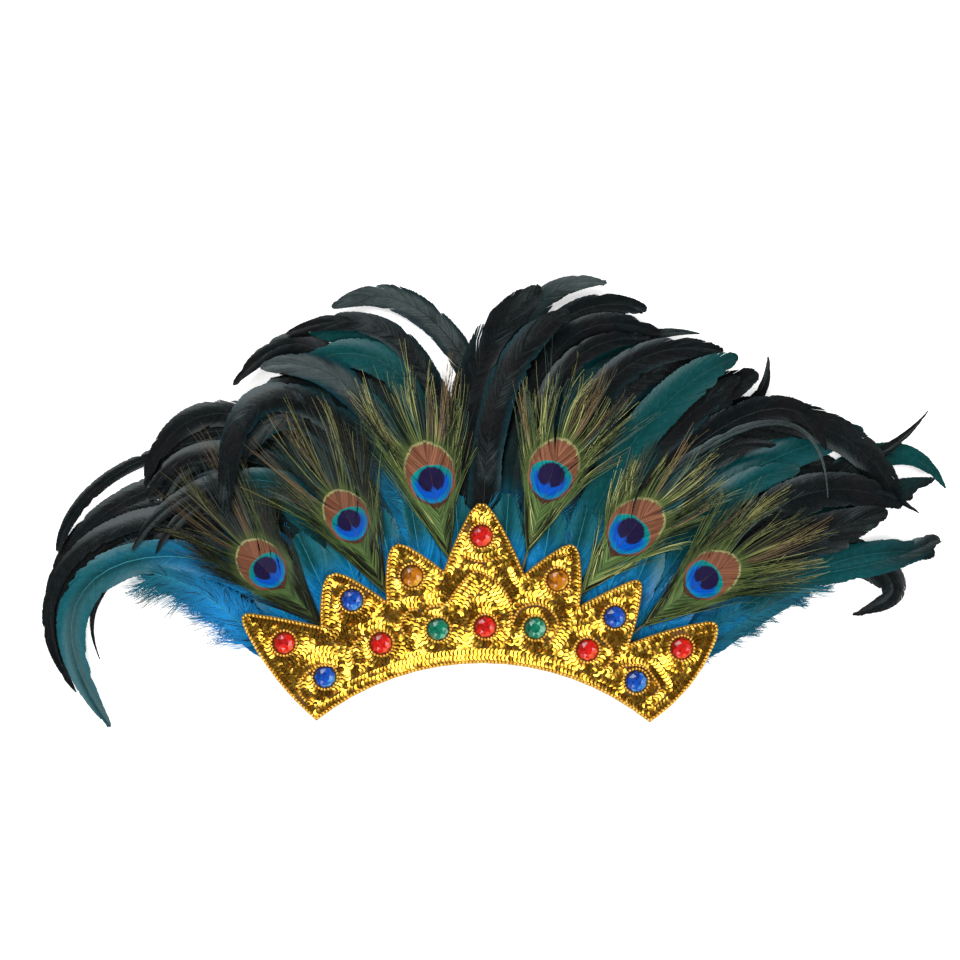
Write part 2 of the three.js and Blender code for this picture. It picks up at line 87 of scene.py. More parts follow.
class Wire:
    """A socket in a finish's nodes. Sums on it are added to the finish as Math nodes."""

    def __init__(self, tree, socket=None):
        self.tree = tree
        self.socket = socket

    def add(self, kind, settings, inputs, out=0):
        node = self.tree.nodes.new("ShaderNode" + kind)
        for name, value in settings.items():
            if name == "stops":
                ramp = node.color_ramp
                ramp.elements.remove(ramp.elements[1])
                ramp.elements[0].position, ramp.elements[0].color = value[0]
                for position, colour in value[1:]:
                    ramp.elements.new(position).color = colour
            else:
                setattr(node, name, value)
        for name, value in inputs.items():
            if isinstance(value, Wire):
                self.tree.links.new(value.socket, node.inputs[name])
            else:
                node.inputs[name].default_value = value
        return Wire(self.tree, node.outputs[out])

    def sum(self, operation, *values):
        return self.add("Math", {"operation": operation}, dict(enumerate(values)))

    def __add__(self, other):
        return self.sum("ADD", self, other)

    def __sub__(self, other):
        return self.sum("SUBTRACT", self, other)

    def __rsub__(self, other):
        return self.sum("SUBTRACT", other, self)

    def __mul__(self, other):
        return self.sum("MULTIPLY", self, other)

    def __truediv__(self, other):
        return self.sum("DIVIDE", self, other)

    def __pow__(self, other):
        return self.sum("POWER", self, other)

    def __abs__(self):
        return self.sum("ABSOLUTE", self)

    __radd__ = __add__
    __rmul__ = __mul__

    def ease(self, low, high):
        span = {"Value": self, "From Min": low, "From Max": high}
        return self.add("MapRange", {"interpolation_type": "SMOOTHSTEP"}, span)

    def between(self, first, second):
        return self.add("Mix", {"data_type": "RGBA"}, {0: self, 6: first, 7: second}, out=2)

    def place(self):
        return self.add("TexCoord", {}, {}, out="Object")

    def grain(self, scale, detail):
        return self.add("TexNoise", {}, {"Vector": self.place(), "Scale": scale, "Detail": detail})

    def mark(self, name):
        return self.add("Attribute", {"attribute_name": name}, {}, out="Fac")

    def into(self, shader, socket):
        self.tree.links.new(self.socket, shader.inputs[socket])


def finish(name, **fixed):
    """A new finish: its material, its shader with the fixed values set, and a Wire to add nodes from."""
    material = bpy.data.materials.new(name)
    material.use_nodes = True
    shader = material.node_tree.nodes["Principled BSDF"]
    for socket, value in fixed.items():
        shader.inputs[socket.replace("_", " ").title().replace("Ior", "IOR")].default_value = value
    return material, shader, Wire(material.node_tree)


def piece_from(name, bm, material):
    """The object of a finished bmesh, at the origin."""
    mesh = bpy.data.meshes.new(name)
    bm.to_mesh(mesh)
    bm.free()
    mesh.materials.append(material)
    piece = bpy.data.objects.new(name, mesh)
    bpy.context.scene.collection.objects.link(piece)
    return piece


card_finish, card_shader, card = finish(
    "white_card", roughness=0.7, emission_color=(1.0, 1.0, 1.0, 1.0), emission_strength=CARD_GLOW)
card_grain = card.grain(CARD_GRAIN, 2.0)
card_grain.between(paint(*CARD_WHITE), paint(*CARD_PALE)).into(card_shader, "Base Color")
card_bump = card.add("Bump", {}, {"Strength": 0.05, "Distance": 0.0004, "Height": card_grain})
card_bump.into(card_shader, "Normal")

card_mesh = bmesh.new()
bmesh.ops.create_grid(card_mesh, x_segments=2, y_segments=2, size=CARD_HALF)
bmesh.ops.translate(card_mesh, verts=card_mesh.verts, vec=(0, 0, -CARD_DROP))
piece_from("white_card", card_mesh, card_finish)

room = bpy.data.worlds.new("dim_room")
room.use_nodes = True
room.node_tree.nodes["Background"].inputs["Color"].default_value = (1.0, 1.0, 1.0, 1.0)
room.node_tree.nodes["Background"].inputs["Strength"].default_value = ROOM_LIGHT
bpy.context.scene.world = room
for number, box in enumerate(SOFTBOXES, 1):
    lamp = bpy.data.lights.new(f"softbox_{number}", "AREA")
    lamp.size = box["side"]
    lamp.energy = box["watts"]
    turn, rise = math.radians(box["azimuth"]), math.radians(box["elevation"])
    towards = Vector((math.cos(turn) * math.cos(rise), math.sin(turn) * math.cos(rise), math.sin(rise)))
    stand = bpy.data.objects.new(f"softbox_{number}", lamp)
    stand.location = towards * box["away"]
    stand.rotation_euler = towards.to_track_quat("Z", "Y").to_euler()
    bpy.context.scene.collection.objects.link(stand)

# Quill bands
# The feathers' quills are bound side by side between strips of black cotton tape, a back row and a
# front row, each in two halves that meet near the middle. The ribbed tape is folded round at its edges.
MM = 0.001
ARC_DROP = 217.5
BAND = {"inner": 206.0, "outer": 236.0, "half_deg": 36.0, "gap_deg": 0.2}
BACK_BAND = {"bottom": 0.0, "top": 5.4, "split_deg": 0.0}
FRONT_BAND = {"bottom": 5.7, "top": 9.7, "split_deg": -6.0}
BAND_STEPS = 24
BAND_ROUND = 0.9
BAND_CORNER = 1.0
STONE_DRAWN = {"deg": -0.1, "radius": 295.5}
TAPE_BLACK = (22, 24, 28)
TAPE_WORN = (48, 52, 58)
RIB_PITCH = 0.0011
# A wave texture of scale 1 turns by 20 radians in a metre.
WAVE_RATE = 20


def on_ring(deg, radius):
    """A point at an angle from the middle on a circle about the centre of the brow, in millimetres."""
    turn = np.radians(deg)
    return np.stack([radius * np.sin(turn), radius * np.cos(turn) - ARC_DROP], axis=-1)


# The parts are drawn in millimetres from the middle of the brow. The top stone shows where that is.
stone_low, stone_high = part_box("stone_01")
drawn = on_ring(STONE_DRAWN["deg"], STONE_DRAWN["radius"])
drawing_origin = np.array([*((stone_low + stone_high) / 2).xy, 0.0]) - np.array([*drawn, 0.0]) * MM


def in_frame(points):
    """Points of the drawing, in millimetres, as places in the frame."""
    return np.asarray(points) * MM + drawing_origin


tape_finish, tape_shader, tape = finish("black_cotton_tape", roughness=0.85)
tape_ribs = tape.add("TexWave", {"wave_type": "RINGS", "rings_direction": "Z"}, {
    "Vector": tape.place(), "Scale": 1 / (RIB_PITCH * WAVE_RATE), "Distortion": 0.4})
tape_wear = tape.grain(160.0, 4.0)
tape_tone = (tape_ribs * 0.5 + tape_wear * 0.5).between(paint(*TAPE_BLACK), paint(*TAPE_WORN))
tape_tone.into(tape_shader, "Base Color")
tape_bump = tape.add("Bump", {}, {"Strength": 0.6, "Distance": 0.0003, "Height": tape_ribs})
tape_bump.into(tape_shader, "Normal")

band_mesh = bmesh.new()
for band in (BACK_BAND, FRONT_BAND):
    halves = [
        (-BAND["half_deg"], band["split_deg"] - BAND["gap_deg"]),
        (band["split_deg"] + BAND["gap_deg"], BAND["half_deg"]),
    ]
    for start, end in halves:
        corners = []
        for radius, height in [
            (BAND["inner"], band["bottom"]), (BAND["outer"], band["bottom"]),
            (BAND["outer"], band["top"]), (BAND["inner"], band["top"]),
        ]:
            corners.append(band_mesh.verts.new(in_frame([*on_ring(start, radius), height])))
        section = band_mesh.faces.new(corners)
        bmesh.ops.spin(
            band_mesh, geom=[section, *section.edges, *section.verts],
            cent=in_frame([0, -ARC_DROP, 0]), axis=(0, 0, -1),
            angle=math.radians(end - start), steps=BAND_STEPS)
bmesh.ops.recalc_face_normals(band_mesh, faces=band_mesh.faces)
long_edges = [e for e in band_mesh.edges if e.is_manifold and e.calc_face_angle() > BAND_CORNER]
bmesh.ops.bevel(band_mesh, geom=long_edges, offset=BAND_ROUND * MM, affect="EDGES", segments=2,
                profile=0.5, material=-1, clamp_overlap=True)
quill_bands = piece_from("quill_bands", band_mesh, tape_finish)
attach(quill_bands, "root")

# Cock feathers
# Long dyed tail feathers of a cockerel in four fringes: glossy black or teal vanes with a turquoise,
# downy foot, curling away from the middle. Each barb is a fine ribbon, and barbs cling in small locks.
ROOT_RADIUS = 226.0
COVERED = 70.0
BACK_LEVELS = 3
LAYER = {"above_band": 0.9, "back_rise": 0.025, "front_rise": 0.02, "opening": 0.02, "lift_power": 4}
FRONT_ROW_RISE = FRONT_BAND["bottom"]
VANE = {
    "first": 0.03, "last": 0.997, "fuller": 1.12, "root_share": 0.3, "full_at": 0.32, "tip_power": 1.28,
    "tip_reach": 0.85, "arched_from": 0.25, "arched_at": 0.5, "camber": 0.2, "roll": 0.2,
    "roll_waves": (3, 8),
}
BARB = {
    "pitch": 0.62, "steps": 4, "forward": 1.8, "further": 2.5, "half": 0.5, "narrows": 0.35, "tilt": 0.1,
    "tilt_stray": 0.02, "lift": 0.5, "lift_stray": 0.4, "lock": 7, "parted": 0.25, "sweep_power": 1.2,
    "spread_power": 1.4,
}
# How much the barbs change in length, width and tone, slowly along a feather or from one to the next.
UNEVEN = {"reach": 0.1, "width": 0.05, "tone": 0.15, "shortest": 0.95, "longest": 1.02}
TONE = {"least": 0.25, "lock": 0.14, "barb": 0.36}
# Splits part a vane into locks, and notches are bitten out of its edge.
SPLIT = {"count": 7, "from": 0.2, "to": 0.97, "least": 0.3, "most": 1.8, "fades": 7.0}
NOTCH = {"count": 3, "from": 0.45, "least": 0.08, "most": 0.4, "half": 2.6}
# Downy barbs leave the shaft at an angle in radians and curl back towards it.
DOWN = {
    "steps": 6, "from": 0.04, "to": 0.36, "short": 8.0, "long": 24.0, "half": 0.17, "lock": 6, "thicker": 3,
    "leaves": (0.6, 1.2), "curls": (0, 0.8), "leaves_stray": 0.12, "curls_stray": 0.1, "rises": (-0.6, 3.2),
    "usual_width": 24, "least_unit": 0.6, "shortest": 0.7, "gather_power": 1.5, "root_width": 1.1,
    "narrows": 0.7, "ceiling_rise": 0.1,
}
FLUFF = {"from": 0.3, "to": 0.93, "short": 0.5, "long": 1.2, "half": 0.27, "lock": 13}
# Feathers that reach far out on the left are duller: they get less painted sheen.
DULL = {"from": 200.0, "to": 300.0, "most": 0.55}
# The mark that tells the parts of a feather from each other in its finish.
PART = {"vane": 0.0, "down": 1.0, "shaft": 2.0}
SHAFT = {"steps": 22, "sides": 5, "root": 0.95, "tip": 0.12, "taper": 0.7, "proud": 0.4}
# The share of a feather's length that its direction is read over.
AIM = 0.004
TIP_AIM = 0.02
PANEL_UNDERSIDE = 10.6
LOWEST = 0.2
# Where the black starts along the vane, how blue the dye is, how thick the down is, and where the tip
# starts to taper close each row. A feather with no taper is all fluff, with no closed vane.
COCK_COLUMNS = [
    "root", "knee_x", "knee_y", "crest_x", "crest_y", "tip_x", "tip_y", "width", "level", "lift",
    "black_from", "blue", "down", "taper",
]
LEFT_COCKS = [
    [-35.6, -208, 59.5, -278, 54, -279.5, -66, 22.5, 4, -6, 1.15, 0.8, 150, 0.68],
    [-33, -229, 90, -309.5, 53, -305.5, -40, 22, 1, 0, 0.30, 0.3, 20, 0.5],
    [-31, -240, 116, -302.5, 77.5, -322, -8, 16, 0, 0, 0.40, 0.5, 20, 0.6],
    [-28, -162, 144.5, -307.5, 94.5, -319.5, 66, 9, 0, 6, 0.05, 0.2, 10, 0.85],
    [-24, -170, 120, -215, 111, -262.5, 66.5, 17, 4, 0, 0.62, 0.3, 20, 0.5],
    [-20, -137, 150, -205, 169.5, -253, 121, 18, 1, 2, 0.45, 0.2, 20, 0.75],
    [-22, -144, 128, -219, 139, -252, 105, 12, 2, 0, 0.55, 0.2, 20, 0.75],
    [-14, -80, 135, -148, 182, -191, 92, 20, 5, 8, 0.42, 0.3, 30, 0.75],
    [-15.5, -88, 120, -144, 167, -182, 128, 17, 4, 0, 0.42, 0.4, 30, 0.75],
    [-10, -84, 165, -129, 221, -187, 191, 18, 1, 5, 0.30, 0.2, 10, 0.7],
    [-11.5, -68, 120, -103, 192, -166, 204, 21, 3, 6, 0.42, 0.3, 30, 0.75],
    [-5, -32, 158, -65, 221, -147, 218, 17, 1, 0, 1.10, 0.15, 20, 0.75],
    [-4, -26.5, 150, -57, 220.5, -147, 229.5, 16, 2, 3, 0.35, 0.1, 10, 0.72],
    [-1.5, 13.5, 139.5, -79, 258.5, -113, 249.5, 18.5, 0, 10, 0.05, 0.1, 0, 0.75],
    [-35.5, -187, 17, -221, 40.5, -256, 51.5, 34, 3, 0, 2.00, 1.6, 320, 0],
    [-8.5, -62, 98, -88, 150, -114, 180, 14, 2, 0, 1.00, 0.5, 60, 0.75],
    [-30, -159, 60, -197, 98, -238, 101, 20, 2, 0, 0.70, 0.5, 60, 0.75],
    [-9.5, -60, 122, -94, 176, -136, 190, 27, 2, 0, 0.95, 0.35, 30, 0.75],
    [-4.5, -35, 150, -70, 206, -140, 204, 22, 2, 0, 1.10, 0.2, 20, 0.75],
    [-21, -140, 139, -213, 155, -253, 114, 24, 0, 0, 0.45, 0.2, 0, 0.75],
    [-12.5, -76, 128, -128, 190, -178, 160, 26, 2, 0, 0.42, 0.3, 0, 0.75],
    [-33.5, -195, 55, -250, 76, -300, 40, 24, 1, 0, 0.15, 0.3, 0, 0.75],
    [-32, -240, 92, -310, 58, -316, -20, 12, 2, 0, 0.10, 0.2, 0, 0.5],
    [-24.5, -165, 115, -205, 105, -245, 64, 16, 4, 0, 0.62, 0.3, 20, 0.5],
    [-31.5, -165, 60, -200, 78, -245, 80, 28, 0, 0, 0.50, 0.5, 0, 0.75],
    [-31, -225, 97, -280, 84, -318, 30, 20, 0, 0, 0.30, 0.3, 0, 0.6],
    [-6.5, -45, 120, -66, 165, -112, 198, 26, 0, 0, 0.80, 0.3, 0, 0.75],
    [-35, -190, 22, -226, 44, -262, 54, 24, 2, 0, 2.00, 1.6, 0, 0.7],
    [-21, -106, 62, -130, 97, -158, 130, 30, 1, 0, 1.20, 0.4, 0, 0.75],
    [-34.5, -214, 62, -285, 36, -287, -15, 10, 3, 0, 0.05, 0.1, 0, 0.3],
]
RIGHT_COCKS = [
    [-3, -17, 135, 5, 219, 44.5, 263.5, 26, 3, 12, 0.12, 0.1, 30, 0.8],
    [0, 3, 135, 23, 206, 65, 246, 22, 4, 10, 0.12, 0.3, 40, 0.75],
    [4, 19, 150, 58, 264, 94, 268, 17, 0, 10, 0.72, 0.0, 20, 0.7],
    [5.5, 25, 143, 62, 241, 124, 248, 16, 1, 8, 0.35, 0.1, 10, 0.85],
    [4.5, 29, 143, 70, 229, 134, 230, 19, 2, 3, 0.40, 0.2, 20, 0.75],
    [6, 36, 143, 74, 214, 126, 225, 15, 3, 4, 0.40, 0.2, 20, 0.75],
    [8.5, 59, 150, 104, 218, 164, 230, 15, 0, 6, 0.35, 0.0, 10, 0.5],
    [7.5, 47, 128, 81, 203, 137, 221, 14, 1, 0, 1.00, 0.3, 20, 0.75],
    [9.5, 59, 120, 100, 198, 180, 216, 20, 4, 10, 0.35, 0.2, 30, 0.75],
    [11, 70, 120, 111, 189, 184, 205, 21, 3, 5, 0.35, 0.2, 30, 0.85],
    [14, 89, 105, 126, 165, 190, 212, 26, 5, 14, 1.05, 0.15, 60, 0.75],
    [16, 98, 98, 137, 150, 192, 197, 20, 4, 8, 0.55, 0.35, 60, 0.75],
    [18, 118, 109, 170, 180, 207, 199, 29, 3, 6, 0.35, 0.2, 20, 0.75],
    [17, 150, 150, 213, 193, 215, 213, 12, 0, 8, 0.30, 0.2, 0, 0.6],
    [22, 163, 148, 241, 168, 256, 142, 21, 4, 12, 0.35, 0.2, 20, 0.6],
    [22, 156, 98, 227, 139, 287, 158, 24, 1, 2, 1.00, 0.3, 20, 0.75],
    [24, 180, 169, 271, 152, 313, 98, 22, 2, 4, 0.35, 0.2, 10, 0.8],
    [25, 194, 105, 292, 136, 334.5, 172, 23, 0, 14, 0.05, 0.2, 0, 0.25],
    [27, 240, 100, 325, 137, 348.5, 113.5, 22, 0, 8, 1.10, 0.0, 0, 0.55],
    [28, 216, 83, 303, 110, 340, 121, 30, 1, 6, 0.90, 0.1, 0, 0.55],
    [27, 186, 75, 261, 113, 311, 101, 25, 3, 8, 0.35, 0.2, 30, 0.75],
    [29.5, 197, 60, 256, 81, 303, 97, 26, 4, 6, 0.35, 0.0, 50, 0.75],
    [31.5, 194.8, 23.5, 281, 62, 340, 64.5, 17, 1, 8, 0.90, 0.3, 80, 0.85],
    [33.8, 284, 61.7, 310, 40.5, 279, 18.3, 26, 0, 0, 0.60, 0.2, 0, 0.58],
    [35.5, 186, 11, 220, 31, 283, 62, 24, 0, 0, 1.20, 0.2, 300, 0.4],
    [21, 164, 143, 231, 161, 258, 107, 6, 5, 6, 0.35, 0.3, 0, 0.3],
    [19, 134, 98, 171, 139, 220, 146, 19, 5, 0, 0.62, 0.6, 160, 0.6],
    [25.5, 156, 75, 194, 113, 239, 128, 20, 2, 0, 1.05, 0.3, 60, 0.75],
    [12.5, 77, 90, 107, 143, 156, 180, 18, 2, 0, 0.55, 0.5, 50, 0.75],
    [31.5, 179, 45, 231, 68, 276, 71, 20, 2, 0, 0.35, 0.5, 60, 0.75],
    [19.5, 140, 112, 205, 160, 262, 150, 22, 1, 0, 0.35, 0.2, 0, 0.75],
    [27.5, 205, 80, 290, 112, 328.5, 95, 18, 1, 4, 0.35, 0.2, 0, 0.4],
    [33.5, 240, 47, 322, 66, 343, 77, 16, 1, 9, 0.86, 0.3, 0, 0.85],
    [32.3, 185, 36, 232, 56, 278, 68, 20, 1, 0, 0.50, 0.4, 0, 0.75],
    [34.3, 190, 22, 230, 42, 268, 55, 18, 0, 0, 1.00, 0.6, 0, 0.75],
    [35.5, 186, 8, 222, 27, 262, 46, 25, 0, 0, 2.00, 0.3, 120, 0],
]
COCK_SEEDS = {"left": 93834, "right": 2932}
UP = np.array([0.0, 0.0, 1.0])
RIBBON_EDGES = np.array([-1.0, 1.0])


def spread_of(flat):
    """How far past the feather roots a point lies, outwards from the brow."""
    return np.maximum(0.0, np.hypot(flat[..., 0], flat[..., 1] + ARC_DROP) - ROOT_RADIUS)


def layer_height(level, spread):
    """The height of a layer of feathers, which opens like a fan past the part that the crown covers."""
    front = level >= BACK_LEVELS
    rise = LAYER["front_rise"] * (level - BACK_LEVELS) if front else LAYER["back_rise"] * level
    foot = LAYER["above_band"] + (FRONT_ROW_RISE if front else 0.0)
    opened = LAYER["opening"] * level * np.maximum(0, spread - COVERED)
    return foot + rise * np.minimum(spread, COVERED) + opened


def smooth_step(t, low, high):
    """A soft step from 0 at the low end to 1 at the high end."""
    share = np.clip((t - low) / (high - low), 0, 1)
    return share * share * (3 - 2 * share)


def vane_width(t, taper):
    """The share of its full width that a vane has at a place along it."""
    root = VANE["root_share"] + (1 - VANE["root_share"]) * smooth_step(t, 0, VANE["full_at"])
    past = np.clip((t - taper) / (1 - taper), 0, 1)
    return root * (1 - past ** 2) ** (VANE["tip_power"] - taper)


class Feather:
    """One cock feather: a smooth shaft through its root, knee, crest and tip, and the vane about it."""

    def __init__(self, row, seed):
        self.row = dict(zip(COCK_COLUMNS, row))
        self.chance = np.random.default_rng(seed)
        r = self.row
        self.held = np.array([
            on_ring(r["root"], ROOT_RADIUS), (r["knee_x"], r["knee_y"]),
            (r["crest_x"], r["crest_y"]), (r["tip_x"], r["tip_y"])])
        runs = np.concatenate([[0.0], np.cumsum(np.linalg.norm(np.diff(self.held, axis=0), axis=1))])
        self.length = runs[-1]
        self.shares = runs / runs[-1]
        self.full = r["width"] / 2 * VANE["fuller"]
        self.roll = self.chance.uniform(-1, 1) * VANE["roll"]
        self.roll_wave = self.chance.uniform(*VANE["roll_waves"])
        # The share of painted sheen in this feather's black, cut down on feathers far out on the left.
        dull = DULL["most"] * smooth_step(-r["tip_x"], DULL["from"], DULL["to"])
        gloss = self.chance.random() * (1 - dull)
        self.marks = {"black_from": r["black_from"], "blue": r["blue"], "gloss": gloss}

    def flat(self, t):
        """Points of the shaft seen from above, on a smooth curve through the four held points."""
        point = np.zeros((*np.shape(t), 2))
        for k, here in enumerate(self.shares):
            weight = np.ones(np.shape(t))
            for j, other in enumerate(self.shares):
                if j != k:
                    weight = weight * (t - other) / (here - other)
            point += weight[..., None] * self.held[k]
        return point

    def along_shaft(self, t):
        """Points of the shaft in its layer. Past the tip it runs straight on."""
        on = np.minimum(t, 1.0)
        aim = self.flat(np.array(1.0)) - self.flat(np.array(1 - TIP_AIM))
        flat = self.flat(on) + (t - on)[..., None] * aim / TIP_AIM
        lift = self.row["lift"] * on ** LAYER["lift_power"]
        height = layer_height(self.row["level"], spread_of(flat)) + lift
        return np.concatenate([flat, height[..., None]], axis=-1)

    def leftwards(self, t):
        """The direction to the left of the shaft."""
        on = np.clip(t, AIM, 1 - AIM)
        ahead = self.flat(on + AIM) - self.flat(on - AIM)
        ahead /= np.linalg.norm(ahead, axis=-1, keepdims=True)
        return np.stack([-ahead[..., 1], ahead[..., 0], np.zeros(np.shape(t))], axis=-1)

    def surface(self, along, across):
        """Points of the vane, which is arched over its shaft and rolls a little from side to side."""
        t = along / self.length
        points = self.along_shaft(t) + self.leftwards(t) * across[..., None]
        arch = VANE["camber"] * (self.full / 2 - across ** 2 / self.full)
        roll = self.roll * np.sin(self.roll_wave * t) * across
        points[..., 2] += smooth_step(t, VANE["arched_from"], VANE["arched_at"]) * (arch + roll)
        return points


def strips(shape, along, across, halves, lift, lean, scale, marks):
    """Many ribbons in a feather's own millimetres, laid on its shape, with marks for each ribbon."""
    count, steps = along.shape
    run, rise = np.gradient(along, axis=1), np.gradient(across, axis=1)
    size = np.hypot(run, rise) + 1e-9
    out = halves[..., None] * RIBBON_EDGES
    along = along[..., None] - (rise / size)[..., None] * out
    across = across[..., None] + (run / size)[..., None] * out
    points = shape(along, across)
    points[..., 2] += lift[..., None] + np.broadcast_to(lean, count)[:, None, None] * out
    first = (np.arange(count)[:, None] * steps + np.arange(steps - 1)) * 2
    faces = np.stack([first, first + 2, first + 3, first + 1], axis=-1)
    uv = np.stack([along * scale[0], across * scale[1]], axis=-1)
    marks = {name: np.repeat(np.broadcast_to(value, count), steps * 2) for name, value in marks.items()}
    return points.reshape(-1, 3), faces.reshape(-1, 4), uv.reshape(-1, 2), marks


def round_shaft(path, radii, sides, uv, marks):
    """A tapered round shaft along one path, in the same form as the ribbons."""
    steps = len(path)
    ahead = np.gradient(path, axis=0)
    side = np.cross(UP, ahead)
    side /= np.linalg.norm(side, axis=-1, keepdims=True)
    over = np.cross(ahead, side)
    over /= np.linalg.norm(over, axis=-1, keepdims=True)
    turn = np.arange(sides) * 2 * np.pi / sides
    rim = np.cos(turn)[:, None] * side[:, None] + np.sin(turn)[:, None] * over[:, None]
    points = path[:, None] + rim * radii[:, None, None]
    here = np.arange(steps - 1)[:, None] * sides + np.arange(sides)
    there = np.arange(steps - 1)[:, None] * sides + (np.arange(sides) + 1) % sides
    faces = np.stack([here, there, there + sides, here + sides], axis=-1)
    marks = {name: np.full(steps * sides, value, float) for name, value in marks.items()}
    return points.reshape(-1, 3), faces.reshape(-1, 4), np.repeat(uv, sides, axis=0), marks


def feather_piece(name, blocks, material):
    """One object from the blocks of ribbons and shafts, with its UV map and marks."""
    starts = np.cumsum([0] + [len(block[0]) for block in blocks[:-1]])
    points = in_frame(np.concatenate([block[0] for block in blocks]))
    points[:, 2] = np.maximum(points[:, 2], LOWEST * MM)
    faces = np.concatenate([block[1] + start for block, start in zip(blocks, starts)])
    uv = np.concatenate([block[2] for block in blocks])
    mesh = bpy.data.meshes.new(name)
    mesh.vertices.add(len(points))
    mesh.vertices.foreach_set("co", points.ravel())
    mesh.loops.add(faces.size)
    mesh.loops.foreach_set("vertex_index", faces.ravel().astype(np.int32))
    mesh.polygons.add(len(faces))
    mesh.polygons.foreach_set("loop_start", np.arange(0, faces.size, 4, dtype=np.int32))
    mesh.update(calc_edges=True)
    mesh.uv_layers.new(name="vane").data.foreach_set("uv", uv[faces.ravel()].ravel())
    for mark in blocks[0][3]:
        values = np.concatenate([block[3][mark] for block in blocks]).astype(np.float32)
        mesh.attributes.new(mark, "FLOAT", "POINT").data.foreach_set("value", values)
    mesh.polygons.foreach_set("use_smooth", np.ones(len(faces), bool))
    mesh.materials.append(material)
    mesh.validate()
    piece = bpy.data.objects.new(name, mesh)
    bpy.context.scene.collection.objects.link(piece)
    return piece


def slow_change(chance, count, waves):
    """A slow random change along a feather, between -1 and 1."""
    return np.interp(np.linspace(0, waves - 1, count), np.arange(waves), chance.uniform(-1, 1, waves))


def in_locks(chance, count, each):
    """The number of the lock that each barb clings to."""
    return np.cumsum(chance.random(count) < 1 / each)


def curled(turn, step):
    """Paths of even steps that head as the turns say, from along the shaft to across it."""
    along = np.cumsum(np.cos(turn) * step, axis=1) - np.cos(turn[:, :1]) * step
    across = np.cumsum(np.sin(turn) * step, axis=1) - np.sin(turn[:, :1]) * step
    return along, across


def for_locks(draw, lock, *limits):
    """A random value for each lock, which all of its barbs share."""
    return draw(*limits, lock[-1] + 1)[lock]


def vane_half(feather, side):
    """The barbs on one side of a cock feather's shaft, parted at a few splits."""
    row, chance, length, full = feather.row, feather.chance, feather.length, feather.full
    count = int(length * (VANE["last"] - VANE["first"]) / BARB["pitch"])
    t = np.linspace(VANE["first"], VANE["last"], count)
    reach = BARB["forward"] * full + BARB["further"]
    reach = reach * (1 + UNEVEN["reach"] * slow_change(chance, count, waves=9))
    reach = np.minimum(reach, (1 - t) * length * VANE["tip_reach"])
    half = full * vane_width(t + reach / length, row["taper"])
    half = half * (1 + UNEVEN["width"] * slow_change(chance, count, waves=14))
    half = half * chance.uniform(UNEVEN["shortest"], UNEVEN["longest"], count)
    lock = in_locks(chance, count, BARB["lock"])
    parted = for_locks(chance.normal, lock, 0, BARB["parted"])
    for split in chance.uniform(SPLIT["from"], SPLIT["to"], SPLIT["count"]):
        beyond = (t - split) * length
        opened = chance.uniform(SPLIT["least"], SPLIT["most"])
        parted += np.sign(beyond) * np.exp(-np.abs(beyond) / SPLIT["fades"]) * opened
    for notch in chance.uniform(NOTCH["from"], VANE["last"], NOTCH["count"]):
        bitten = chance.uniform(NOTCH["least"], NOTCH["most"])
        half = half * (1 - bitten * np.exp(-((t - notch) * length / NOTCH["half"]) ** 2))
    parted = parted * np.minimum(1, reach / full)
    s = np.linspace(0, 1, BARB["steps"])[None, :]
    along = t[:, None] * length + reach[:, None] * s ** BARB["sweep_power"] + parted[:, None] * s ** 2
    across = side * half[:, None] * (1 - (1 - s) ** BARB["spread_power"])
    lift = BARB["lift"] + BARB["lift_stray"] * slow_change(chance, count, waves=12)[:, None] * s ** 2
    widths = BARB["half"] * (1 - BARB["narrows"] * s ** 2) * np.ones((count, 1))
    tone = TONE["lock"] * for_locks(chance.random, lock) + TONE["barb"] * chance.random(count)
    tone = tone + TONE["least"] + UNEVEN["tone"] * slow_change(chance, count, waves=12)
    marks = {"barb": tone, "part": PART["vane"]} | feather.marks
    lean = BARB["tilt"] * side + chance.normal(0, BARB["tilt_stray"], count)
    return strips(feather.surface, along, across, widths, lift, lean, (1 / length, 1 / full), marks)


def down_half(feather, side, count):
    """The loose, curling downy barbs at the foot of a cock feather, on one side."""
    row, chance = feather.row, feather.chance
    kind, unit = FLUFF, row["width"]
    if row["taper"]:
        least = DOWN["least_unit"]
        kind, unit = DOWN, least + (1 - least) * row["width"] / DOWN["usual_width"]
    t = np.sort(chance.uniform(kind["from"], kind["to"], count))
    lock = in_locks(chance, count, kind["lock"])
    gathered = (np.bincount(lock, t) / np.bincount(lock))[lock] - t
    length = for_locks(chance.uniform, lock, kind["short"], kind["long"])
    length = length * chance.uniform(DOWN["shortest"], 1, count) * unit
    s = np.linspace(0, 1, DOWN["steps"])[None, :]
    leaving = for_locks(chance.uniform, lock, *DOWN["leaves"])
    leaving = leaving + chance.normal(0, DOWN["leaves_stray"], count)
    curling = for_locks(chance.uniform, lock, *DOWN["curls"])
    curling = curling + chance.normal(0, DOWN["curls_stray"], count)
    turn = leaving[:, None] - curling[:, None] * s
    step = length[:, None] / (DOWN["steps"] - 1)
    along, across = curled(turn, step)
    along = along + gathered[:, None] * feather.length * s ** DOWN["gather_power"]
    along = along + t[:, None] * feather.length
    lift = SHAFT["proud"] + chance.uniform(*DOWN["rises"], count)[:, None] * s
    widths = kind["half"] * (DOWN["root_width"] - DOWN["narrows"] * s) * np.ones((count, 1))
    marks = {"barb": chance.random(count), "part": PART["down"]} | feather.marks
    scale = (1 / feather.length, 1 / feather.full)
    block = strips(feather.surface, along, across * side, widths, lift, BARB["tilt"], scale, marks)
    ceiling = PANEL_UNDERSIDE + DOWN["ceiling_rise"] * np.maximum(0, spread_of(block[0]) - COVERED)
    block[0][:, 2] = np.minimum(block[0][:, 2], ceiling)
    return block


